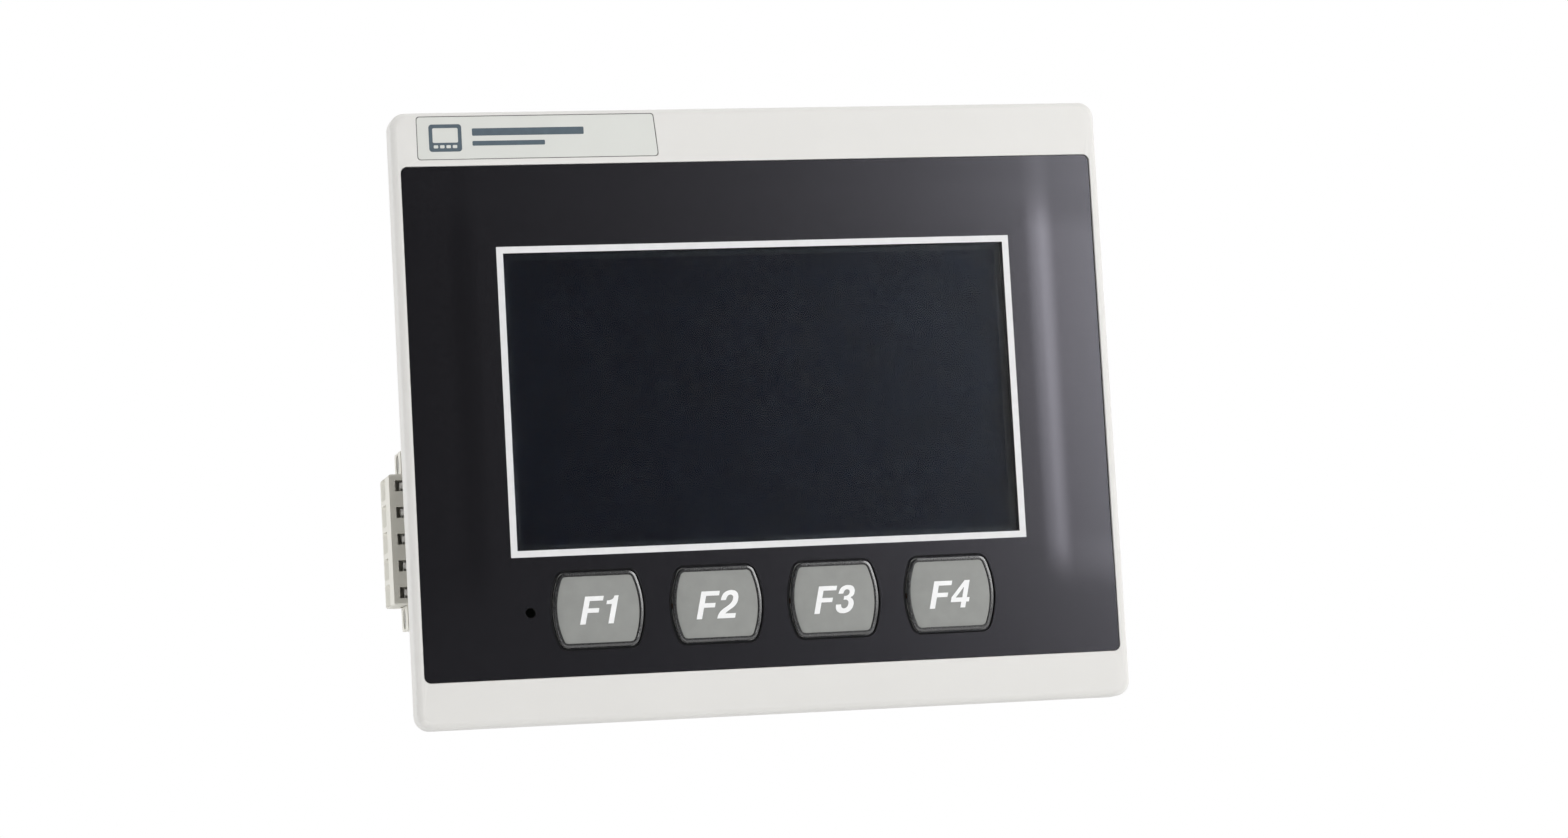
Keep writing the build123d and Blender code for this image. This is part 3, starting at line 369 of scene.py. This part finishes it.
# -------------------------------------------------------------- making pieces
# stands a shape that is drawn in X and Y up in X and Z, with its face to the user
TO_FRONT = Matrix(((1, 0, 0, 0), (0, 0, -1, 0), (0, 1, 0, 0), (0, 0, 0, 1)))


def edit_mesh(mesh, change):
    bm = bmesh.new()
    bm.from_mesh(mesh)
    change(bm)
    bm.to_mesh(mesh)
    bm.free()


def face_outwards(bm):
    bmesh.ops.recalc_face_normals(bm, faces=bm.faces)


def weld(bm):
    """Joins the points that a curve leaves double, and turns all faces outwards."""
    bmesh.ops.remove_doubles(bm, verts=bm.verts, dist=1e-7)
    face_outwards(bm)


def place(name, mesh, body, mat):
    """Makes a piece of a mesh, on its body. The body is None where the piece is left without one."""
    obj = bpy.data.objects.new(name, mesh)
    scene.collection.objects.link(obj)
    mesh.materials.clear()
    mesh.materials.append(mat)
    if body:
        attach(obj, body)
    return obj


def flat_curve(name):
    curve = bpy.data.curves.new(name, "CURVE")
    curve.dimensions = "2D"
    curve.fill_mode = "BOTH"
    return curve


def flatten(name, curve, at, body, mat):
    """Turns a flat curve into a piece that faces the user, at a place in metres."""
    temp = bpy.data.objects.new(name + "_temp", curve)
    scene.collection.objects.link(temp)
    bpy.context.view_layer.update()
    filled = temp.evaluated_get(bpy.context.evaluated_depsgraph_get())
    mesh = bpy.data.meshes.new_from_object(filled)
    bpy.data.objects.remove(temp)
    mesh.transform(Matrix.Translation(at) @ TO_FRONT)
    edit_mesh(mesh, weld)
    mesh.name = name
    return place(name, mesh, body, mat)


def printed(name, loops, y, thick, body, mat, edge=0.0):
    """A thin plate square to Y from outlines in X and Z, in mm: inner outlines are holes."""
    curve = flat_curve(name)
    curve.extrude = (thick / 2 - edge) * MM
    curve.bevel_depth = edge * MM
    curve.offset = -edge * MM
    curve.bevel_resolution = 2
    for loop in loops:
        spline = curve.splines.new("POLY")
        spline.points.add(len(loop) - 1)
        for point, (x, z) in zip(spline.points, loop):
            point.co = (x * MM, z * MM, 0, 1)
        spline.use_cyclic_u = True
    return flatten(name, curve, (0, y * MM, 0), body, mat)


def loft(name, rings, body, mat, cap=False):
    """A skin through closed loops of 3-D points, in mm. A cap closes the last loop."""
    count = len(rings[0])
    verts = [Vector(point) * MM for ring in rings for point in ring]
    faces = []
    for first in range(0, len(verts) - count, count):
        for i in range(count):
            j = (i + 1) % count
            faces.append((first + i, first + j, first + count + j, first + count + i))
    if cap:
        faces.append(tuple(range(len(verts) - count, len(verts))))
    mesh = bpy.data.meshes.new(name)
    mesh.from_pydata(verts, [], faces)
    edit_mesh(mesh, face_outwards)
    return place(name, mesh, body, mat)


def thicken(piece, thick):
    """Gives a skin its thickness in mm, half on each side."""
    solid = piece.modifiers.new("thickness", "SOLIDIFY")
    solid.thickness = thick * MM
    solid.offset = 0


# ------------------------------------------------ the white line and the window
front_low, front_high = box_mm("front_overlay")
win_low, win_high = box_mm("overlay_window")
# the film's front, and the white line's width and thickness
SKIN = front_low.y
LINE_W, LINE_T = 1.25, 0.024

window = box_rect(win_low, win_high)
line_loops = [box_rect(win_low, win_high, LINE_W), window]
line_y = SKIN - LINE_T / 2
printed("window_border", line_loops, line_y, LINE_T, "housing", MATERIALS["white_ink"])


# --------------------------------------- the black border round the active area
ACTIVE_W, ACTIVE_H = 95.04, 53.86
# the border's thickness, and its distance behind the touch screen
BORDER_T, BORDER_GAP = 0.04, 0.01

lcd_x, lcd_z = middle(*box_mm("display_glass"))
touch_rear = box_mm("touch_screen")[1].y
active = rect(lcd_x - ACTIVE_W / 2, lcd_x + ACTIVE_W / 2, lcd_z - ACTIVE_H / 2, lcd_z + ACTIVE_H / 2)
border_y = touch_rear + BORDER_GAP + BORDER_T / 2
printed("display_border", [window, active], border_y, BORDER_T, "housing", MATERIALS["mask"])


# -------------------------------------------------------------- a key's outline
# half its width and height, how far its sides bulge, and its corners' radius
HALF_W, HALF_H, BULGE, KEY_CORNER = 7.8, 6.25, 1.3, 0.9


def barrel(grow, cx, cz, count=18):
    """The key's outline, grown outwards: flat top and foot, bulging sides, rounded corners."""
    radius = (HALF_H**2 + BULGE**2) / (2 * BULGE)
    side_x = HALF_W - radius
    # the corner circle lies inside the side's arc and under the flat top
    corner_z = HALF_H - KEY_CORNER
    corner_x = side_x + math.sqrt((radius - KEY_CORNER) ** 2 - corner_z**2)
    turn = math.atan2(corner_z, corner_x - side_x)
    quarter = []
    for a in steps(0, turn, count):
        quarter.append((side_x + (radius + grow) * math.cos(a), (radius + grow) * math.sin(a)))
    reach = KEY_CORNER + grow
    for a in steps(turn, math.pi / 2, count // 2)[1:]:
        quarter.append((corner_x + reach * math.cos(a), corner_z + reach * math.sin(a)))
    for share in steps(1, 0, 6)[1:]:
        quarter.append((corner_x * share, HALF_H + grow))
    left_top = [(-x, z) for x, z in reversed(quarter[:-1])]
    left_foot = [(-x, -z) for x, z in quarter[1:]]
    right_foot = [(x, -z) for x, z in reversed(quarter[1:-1])]
    return [(x + cx, z + cz) for x, z in quarter + left_top + left_foot + right_foot]


# ------------------------------------------------------------- the printed film
FILM_T, FILM_CORNER = 0.3, 1.2
# the radius of the lamp's hole, and how far outside the keys' outlines their holes lie
LAMP_HOLE, KEY_HOLE = 0.95, 0.84
# The film's middle is formed over a raised field, which ends at FIELD_X at both sides and at
# FIELD_Z at the top. Outside it the film drops by FIELD_DROP over a width of FIELD_EDGE, and from
# halfway there it also slopes by BORDER_SLOPE. At the top it falls by TOP_SHARE of that.
FIELD_X, FIELD_Z, TOP_SHARE = 53.2, 37.6, 0.4
FIELD_EDGE, FIELD_DROP, BORDER_SLOPE = 6.0, 0.11, 0.011
# up the sides, the fall sets in over FOOT_FADE and loses HEAD_SHARE of itself over HEAD_FADE
FOOT_FADE, HEAD_FADE, HEAD_SHARE = (-37.0, -26.0), (32.0, 43.0), 0.75
# the outermost cuts, just inside the film's edge, and two between the foot's and the head's
CUT_X, CUT_Z = 66.6, 46.6
MIDDLE_CUTS = [0.0, 20.0]


def smooth(t):
    t = min(max(t, 0.0), 1.0)
    return t * t * (3 - 2 * t)


def ramp(value, limits):
    return smooth((value - limits[0]) / (limits[1] - limits[0]))


def fall(out):
    """How far the film has dropped at this distance outside the raised field."""
    return FIELD_DROP * smooth(out / FIELD_EDGE) + BORDER_SLOPE * max(out - FIELD_EDGE / 2, 0)


def sink(x, z):
    """How far the film lies behind the raised field at a point, in mm."""
    side = ramp(z, FOOT_FADE) * (1 - HEAD_SHARE * ramp(z, HEAD_FADE))
    return side * fall(abs(x) - FIELD_X) + TOP_SHARE * fall(z - FIELD_Z)


def cut_across(bm, axis, places):
    """Cuts a mesh by planes square to one axis, at places in mm."""
    for place_mm in places:
        at = [0, 0, 0]
        at[axis] = place_mm * MM
        normal = [0, 0, 0]
        normal[axis] = 1
        geom = bm.verts[:] + bm.edges[:] + bm.faces[:]
        bmesh.ops.bisect_plane(bm, geom=geom, plane_co=at, plane_no=normal)


def form_film(bm):
    """Cuts the film finely where it curves, and lets its front fall away round the field."""
    cut_across(bm, 0, steps(-CUT_X, -FIELD_X, 20) + steps(FIELD_X, CUT_X, 24))
    cut_across(bm, 2, steps(HEAD_FADE[0], CUT_Z, 24) + steps(*FOOT_FADE, 8) + MIDDLE_CUTS)
    for v in bm.verts:
        if v.co.y < (front_low.y + 0.05) * MM:
            v.co.y += sink(v.co.x / MM, v.co.z / MM) * MM
    for face in bm.faces:
        face.smooth = True


def overlay_film():
    """The printed film, with holes for the window, the lamp and the keys."""
    loops = [box_rect(front_low, front_high, r=FILM_CORNER), window]
    loops.append(circle(*middle(*box_mm("status_led_lens")), LAMP_HOLE))
    for number in range(1, 5):
        loops.append(barrel(KEY_HOLE, *middle(*box_mm(f"key_f{number}"))))
    y = (front_low.y + front_high.y) / 2
    film = printed("overlay_film", loops, y, FILM_T, "housing", MATERIALS["overlay"])
    edit_mesh(film.data, form_film)
    film.data.set_sharp_from_angle(angle=math.radians(30))
    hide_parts("front_overlay")


# ----------------------------------------------------------------- key legends
def corners(*points):
    return [(x, z, True) for x, z in points]


# Bold upright shapes, one unit high. A point with True is a corner, and the others are smooth.
LETTER_F = [
    corners((0, 0), (0.2, 0), (0.2, 0.41), (0.6, 0.41), (0.6, 0.57))
    + corners((0.2, 0.57), (0.2, 0.835), (0.68, 0.835), (0.68, 1), (0, 1))
]
FIGURES = {
    1: [
        [(0.27, 0, True), (0.465, 0, True), (0.465, 1, True), (0.315, 1, True), (0.285, 0.9), (0.2, 0.845)]
        + [(0.07, 0.825, True), (0.07, 0.695, True), (0.27, 0.695, True)]
    ],
    2: [
        [(0, 0, True), (0.66, 0, True), (0.66, 0.17, True), (0.27, 0.17, True), (0.37, 0.27), (0.52, 0.38)]
        + [(0.62, 0.5), (0.655, 0.65), (0.635, 0.81), (0.55, 0.94), (0.42, 1.0), (0.25, 1.0), (0.1, 0.925)]
        + [(0.03, 0.8), (0.015, 0.655, True), (0.205, 0.655, True), (0.23, 0.775), (0.29, 0.835)]
        + [(0.37, 0.84), (0.44, 0.79), (0.46, 0.69), (0.42, 0.56), (0.3, 0.44), (0.13, 0.31), (0.03, 0.17)]
    ],
    3: [
        [(0.02, 0.7, True), (0.205, 0.7, True), (0.225, 0.795), (0.28, 0.845), (0.36, 0.845), (0.42, 0.8)]
        + [(0.435, 0.725), (0.4, 0.65), (0.33, 0.618), (0.255, 0.612, True), (0.255, 0.475, True)]
        + [(0.36, 0.47), (0.435, 0.42), (0.46, 0.32), (0.42, 0.205), (0.325, 0.162), (0.24, 0.19)]
        + [(0.19, 0.31, True), (0, 0.31, True), (0.03, 0.15), (0.13, 0.035), (0.28, -0.01), (0.45, 0.005)]
        + [(0.585, 0.085), (0.655, 0.23), (0.645, 0.39), (0.58, 0.5), (0.515, 0.545), (0.585, 0.61)]
        + [(0.62, 0.72), (0.595, 0.86), (0.5, 0.965), (0.34, 1.005), (0.18, 0.98), (0.07, 0.89)]
    ],
    4: [
        corners((0.4, 0), (0.585, 0), (0.585, 0.21), (0.69, 0.21), (0.69, 0.37), (0.585, 0.37))
        + corners((0.585, 1), (0.39, 1), (0, 0.385), (0, 0.21), (0.4, 0.21)),
        corners((0.41, 0.37), (0.41, 0.76), (0.165, 0.37)),
    ],
}
LEGEND_H, LEGEND_T = 5.2, 0.02
# in units of the height: where the figure stands after the F, and how far both lean
FIGURE_AT, LEGEND_LEAN = 0.76, 0.235
# right of the key's middle and below it, and in front of its face's edge
LEGEND_SHIFT, LEGEND_RISE = 0.15, 0.122


def legend(key, number, cx, cz, face_y):
    """F and its figure, leaning, as one thin print on the key's face."""
    wide = FIGURE_AT + max(point[0] for point in FIGURES[number][0]) + LEGEND_LEAN
    curve = flat_curve(f"{key}_legend")
    curve.extrude = LEGEND_T / 2 * MM
    curve.resolution_u = 6
    shapes = [(loop, 0.0) for loop in LETTER_F] + [(loop, FIGURE_AT) for loop in FIGURES[number]]
    for loop, shift in shapes:
        spline = curve.splines.new("BEZIER")
        spline.bezier_points.add(len(loop) - 1)
        for drawn, (x, z, *corner) in zip(spline.bezier_points, loop):
            x += shift + LEGEND_LEAN * z - wide / 2
            drawn.co = (x * LEGEND_H * MM, (z - 0.5) * LEGEND_H * MM, 0)
            drawn.handle_left_type = drawn.handle_right_type = "VECTOR" if corner else "AUTO"
        spline.use_cyclic_u = True
    at = ((cx + LEGEND_SHIFT) * MM, (face_y - LEGEND_RISE) * MM, (cz - LEGEND_SHIFT) * MM)
    flatten(f"{key}_legend", curve, at, key, MATERIALS["legend_ink"])


# ------------------------------------------------------------------------ keys
# how far the pad's face lies behind the rim's crest
FACE_DROP = 0.24
# the print's foot behind the pad's face, its lip and its step in front of it, and its crown
FACE_FOOT, FACE_LIP, FACE_STEP, FACE_CROWN = 0.01, 0.004, 0.02, 0.10
FACE_INSETS = (0.15, 0.5, 1.2, 2.4, 4.0, 5.6)
# the rim's outer slope: how far outside the key's outline, and how far behind the crest
RIM_SLOPE = [
    (0.44, 0.05),
    (0.5, 0.036),
    (0.58, 0.054),
    (0.66, 0.075),
    (0.72, 0.1),
    (0.745, 0.14),
    (0.75, 0.3),
]
# how far the skirt's foot and top lie outside the key's outline, and its top behind the crest
SKIRT_FOOT, SKIRT_TOP, SKIRT_DROP, SKIRT_T = 1.3, 1.02, 0.28, 0.02
# how far a disc's rim and crown stay inside the domes' box, its flat tip's share, its thickness
DOME_FOOT, DOME_TOP, DOME_TIP, DOME_T = 0.01, 0.04, 0.06, 0.03


def key_face(key, cx, cz, y):
    """The printed face, gently crowned."""
    edge = barrel(0.0, cx, cz)
    rings = [at_depth(edge, y + FACE_FOOT), at_depth(edge, y - FACE_LIP)]
    for inset in FACE_INSETS:
        across, upright = 1 - inset / HALF_W, 1 - inset / HALF_H
        loop = [(cx + (x - cx) * across, cz + (z - cz) * upright) for x, z in edge]
        rings.append(at_depth(loop, y - FACE_STEP - FACE_CROWN * (1 - upright**2)))
    loft(f"{key}_face", rings, key, MATERIALS["key_face"], cap=True)


def key_rim(key, cx, cz, crest):
    """The outer slope of the raised rim."""
    rings = [at_depth(barrel(grow, cx, cz), crest + drop) for grow, drop in RIM_SLOPE]
    loft(f"{key}_rim", rings, key, MATERIALS["key_rim"])


def key_skirt(key, cx, cz, crest):
    """The embossed skirt that joins the film to the pad."""
    foot_y, top_y = SKIN - 0.01, crest + SKIRT_DROP
    rings = []
    for t in steps(0.0, 1.0, 8):
        grow = SKIRT_FOOT + (SKIRT_TOP - SKIRT_FOOT) * t
        rings.append(at_depth(barrel(grow, cx, cz), foot_y - (foot_y - top_y) * smooth(t)))
    piece = loft(f"{key}_skirt", rings, None, MATERIALS["skirt"])
    thicken(piece, SKIRT_T)
    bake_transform(piece)


def key_dome(key, cx, cz):
    """A sprung disc, domed: its rim on the circuit and its crown under the key."""
    low, high = box_mm("snap_domes")
    radius = (high.z - low.z) / 2
    foot_y, top_y = high.y - DOME_FOOT, low.y + DOME_TOP
    rings = []
    for share in steps(1.0, DOME_TIP, 8):
        y = foot_y - (foot_y - top_y) * (1 - share**2)
        rings.append(at_depth(circle(cx, cz, radius * share), y))
    piece = loft(f"{key}_dome", rings, None, MATERIALS["steel"], cap=True)
    for face in piece.data.polygons:
        face.use_smooth = True
    thicken(piece, DOME_T)
    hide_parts("snap_domes")
    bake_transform(piece)


overlay_film()
for number in range(1, 5):
    key = f"key_f{number}"
    low, high = box_mm(key)
    cx, cz = middle(low, high)
    crest = low.y
    face_y = crest + FACE_DROP
    key_face(key, cx, cz, face_y)
    key_rim(key, cx, cz, crest)
    key_skirt(key, cx, cz, crest)
    key_dome(key, cx, cz)
    legend(key, number, cx, cz, face_y)


# ----------------------------------------------- the contacts' ends in the plug
POLES, PITCH = 5, 5.08
# an end's width, height and thickness, its corners' radius and its softened edge
END_W, END_H, END_T, END_CORNER, END_EDGE = 1.25, 1.1, 0.2, 0.15, 0.04
# its inner side from the plug's left face, and its middle behind the plug's front
END_IN, END_DEPTH = 3.25, 0.4


def contact_ends():
    """Each test window of the plug shows the end of its contact."""
    plug_low, _ = box_mm("comm_plug_body")
    _, mid_z = middle(*box_mm("comm_plug_contacts"))
    x1, y = plug_low.x + END_IN, plug_low.y + END_DEPTH
    tin = MATERIALS["tin_matte"]
    for i in range(POLES):
        z = mid_z + (i - (POLES - 1) / 2) * PITCH
        loop = rect(x1 - END_W, x1, z - END_H / 2, z + END_H / 2, END_CORNER)
        printed(f"comm_contact_end_{i + 1}", [loop], y, END_T, "comm_plug", tin, END_EDGE)


contact_ends()


# ------------------------------------------------------------------ name plate
plate_low, plate_high = box_mm("name_plate")
# its corners' radius, and how far its right end leans in at the top
PLATE_CORNER, RAKE = 0.6, 0.7
# the width and depth of the dark ring of painted shade in the gap round the plate, where it lies in its
# pocket
GAP, GAP_DEPTH = 0.13, 0.1
PLATE_INK_T = 0.016
ICON_IN, ICON_W, ICON_H, ICON_FRAME = 2.2, 6.2, 5.2, 0.7
# the foot and head of the icon's screen and of its keys, from the plate's middle
ICON_SCREEN, ICON_KEYS = (-0.9, 1.9), (-1.95, -1.35)
ICON_KEY_W, ICON_KEY_PITCH = 0.85, 1.2
# where both bars start from the icon's left side, and each bar's end, foot and head
BARS_IN = 8.2
BARS = ((29.5, 0.35, 1.75), (22.0, -1.55, -0.65))


def plate_print(name, loops):
    y = plate_low.y - PLATE_INK_T / 2
    printed(name, loops, y, PLATE_INK_T, "housing", MATERIALS["slate"])


def plate_icon(left, mid_z):
    """A small picture of a panel: a frame with a screen and a row of four keys."""
    right = left + ICON_W
    screen_foot, screen_head = (mid_z + z for z in ICON_SCREEN)
    keys_foot, keys_head = (mid_z + z for z in ICON_KEYS)
    loops = [rect(left, right, mid_z - ICON_H / 2, mid_z + ICON_H / 2, 0.6)]
    loops.append(rect(left + ICON_FRAME, right - ICON_FRAME, screen_foot, screen_head, 0.25))
    for i in range(4):
        x0 = left + ICON_KEY_W + i * ICON_KEY_PITCH
        loops.append(rect(x0, x0 + ICON_KEY_W, keys_foot, keys_head, 0.15))
    plate_print("name_plate_icon", loops)


def plate_bars(left, mid_z):
    """Two plain bars, a long one over a short one."""
    loops = [rect(left + BARS_IN, left + end, mid_z + foot, mid_z + head, 0.2) for end, foot, head in BARS]
    plate_print("name_plate_bars", loops)


def plate_outline(grow):
    left, right = plate_low.x - grow, plate_high.x + grow
    foot, top = plate_low.z - grow, plate_high.z + grow
    return rounded([(left, foot), (right, foot), (right - RAKE, top), (left, top)], PLATE_CORNER)


def paint_plate_gap_shade():
    """A thin dark ring round the plate: painted shade that stands in for the shadow in the gap."""
    loops = [plate_outline(GAP), plate_outline(-0.01)]
    y = plate_low.y + GAP_DEPTH / 2
    printed("name_plate_painted_shade", loops, y, GAP_DEPTH, "housing", MATERIALS["gap"])


_, plate_z = middle(plate_low, plate_high)
plate_icon(plate_low.x + ICON_IN, plate_z)
plate_bars(plate_low.x + ICON_IN, plate_z)
paint_plate_gap_shade()


# ------------------------------------------------------------------ rear label
label_low, label_high = box_mm("rating_label")
# how far inside the label's edge its line runs, and the line's width
LABEL_IN, LABEL_LINE, LABEL_INK_T = 3, 0.4, 0.012
# the bars' rows, their pitch and height, and the first row's place under the line
BAR_ROWS, BAR_PITCH, BAR_H, BAR_FIRST = 5, 6.2, 1.6, 6


def label_print(name, loops):
    y = label_high.y + LABEL_INK_T / 2
    printed(name, loops, y, LABEL_INK_T, "housing", MATERIALS["slate"])


def label_frame():
    """A thin line round the label, inside its edge."""
    outer = box_rect(label_low, label_high, -LABEL_IN, 1.0)
    inner = box_rect(label_low, label_high, -LABEL_IN - LABEL_LINE, 0.7)
    label_print("rating_label_frame", [outer, inner])


def label_bars():
    """Plain bars in two columns. Seen from behind, they start in line and end raggedly."""
    left, right, top = label_low.x + LABEL_IN, label_high.x - LABEL_IN, label_high.z - LABEL_IN
    loops = []
    for i in range(BAR_ROWS):
        z = top - BAR_FIRST - i * BAR_PITCH
        columns = ((right - 4, 20 + i * 7 % 11), (left + 28, 23 - i * 5 % 13))
        loops += [rect(x - long, x, z - BAR_H / 2, z + BAR_H / 2, 0.2) for x, long in columns]
    label_print("rating_label_bars", loops)


label_frame()
label_bars()


# ----------------------------------------------------------------------- stage
FLOOR_SIZE, FLOOR_Z = 6.0, -0.36
# how brightly the white room lights the object from the front and from behind, and the span of
# a direction's Y over which the one passes into the other
ROOM_LIGHT, ROOM_SPAN = (0.03, 1.0), (-0.55, 0.25)


def pale_floor():
    half = FLOOR_SIZE / 2
    mesh = bpy.data.meshes.new("floor")
    square = [(-half, -half, 0), (half, -half, 0), (half, half, 0), (-half, half, 0)]
    mesh.from_pydata(square, [], [(0, 1, 2, 3)])
    mesh.materials.append(surface("floor", (0.86, 0.86, 0.86), 0.6, shade=0.01, shade_scale=2.0))
    obj = bpy.data.objects.new("floor", mesh)
    obj.location = (0, 0, FLOOR_Z)
    scene.collection.objects.link(obj)


def white_room():
    """Plain white to look at. It lights the object from behind and beside, and hardly from the front."""
    world = bpy.data.worlds.new("studio")
    scene.world = world
    world.use_nodes = True
    tree = world.node_tree
    tree.nodes.clear()
    coords = node(tree, "ShaderNodeTexCoord")
    split = node(tree, "ShaderNodeSeparateXYZ")
    tree.links.new(coords.outputs["Generated"], split.inputs[0])
    level = remap(tree, split.outputs["Y"], ROOM_SPAN, ROOM_LIGHT, interpolation_type="SMOOTHSTEP")
    seen = node(tree, "ShaderNodeBackground", Color=(1, 1, 1, 1), Strength=1.0)
    fill = node(tree, "ShaderNodeBackground", Color=(1, 1, 1, 1))
    tree.links.new(level, fill.inputs["Strength"])
    path = node(tree, "ShaderNodeLightPath")
    mix = node(tree, "ShaderNodeMixShader")
    tree.links.new(path.outputs["Is Camera Ray"], mix.inputs[0])
    tree.links.new(fill.outputs[0], mix.inputs[1])
    tree.links.new(seen.outputs[0], mix.inputs[2])
    out = node(tree, "ShaderNodeOutputWorld")
    tree.links.new(mix.outputs[0], out.inputs[0])


def softbox(name, azimuth, elevation, distance, width, height, radiance):
    """A soft light that faces the object. Azimuth is from -Y towards +X, in degrees."""
    light = bpy.data.lights.new(name, "AREA")
    light.shape = "RECTANGLE"
    light.size = width
    light.size_y = height
    light.energy = radiance * math.pi * width * height
    obj = bpy.data.objects.new(name, light)
    a, e = math.radians(azimuth), math.radians(elevation)
    out = distance * math.cos(e)
    obj.location = (out * math.sin(a), -out * math.cos(a), distance * math.sin(e))
    obj.rotation_euler = (-obj.location).to_track_quat("-Z", "Y").to_euler()
    scene.collection.objects.link(obj)


pale_floor()
white_room()
softbox("softbox_right", 36, 19, 2.0, 1.0, 1.3, 6.7)
softbox("softbox_left", -80, 10, 2.0, 1.0, 1.6, 2.3)
softbox("softbox_top", 10, 75, 1.8, 1.4, 1.0, 1.2)


# ---------------------------------------------------------------------- camera
FOCAL_LENGTH, SENSOR_WIDTH = 89.23, 36.0
# where the camera stands, where it looks, and what lies to the right in its view
EYE = Vector((-0.15961, -0.72274, -0.0748))
AHEAD = Vector((0.221, 0.9703, 0.0982))
ASIDE = Vector((0.9747, -0.2163, -0.0559))


def aim_camera():
    camera = bpy.data.cameras.new("camera")
    camera.lens = FOCAL_LENGTH
    camera.sensor_width = SENSOR_WIDTH
    camera.clip_start = 0.01
    obj = bpy.data.objects.new("camera", camera)
    scene.collection.objects.link(obj)
    forward = AHEAD.normalized()
    right = (ASIDE - forward * ASIDE.dot(forward)).normalized()
    up = right.cross(forward)
    turned = Matrix((right, up, -forward)).transposed().to_4x4()
    obj.matrix_world = Matrix.Translation(EYE) @ turned
    scene.camera = obj


aim_camera()
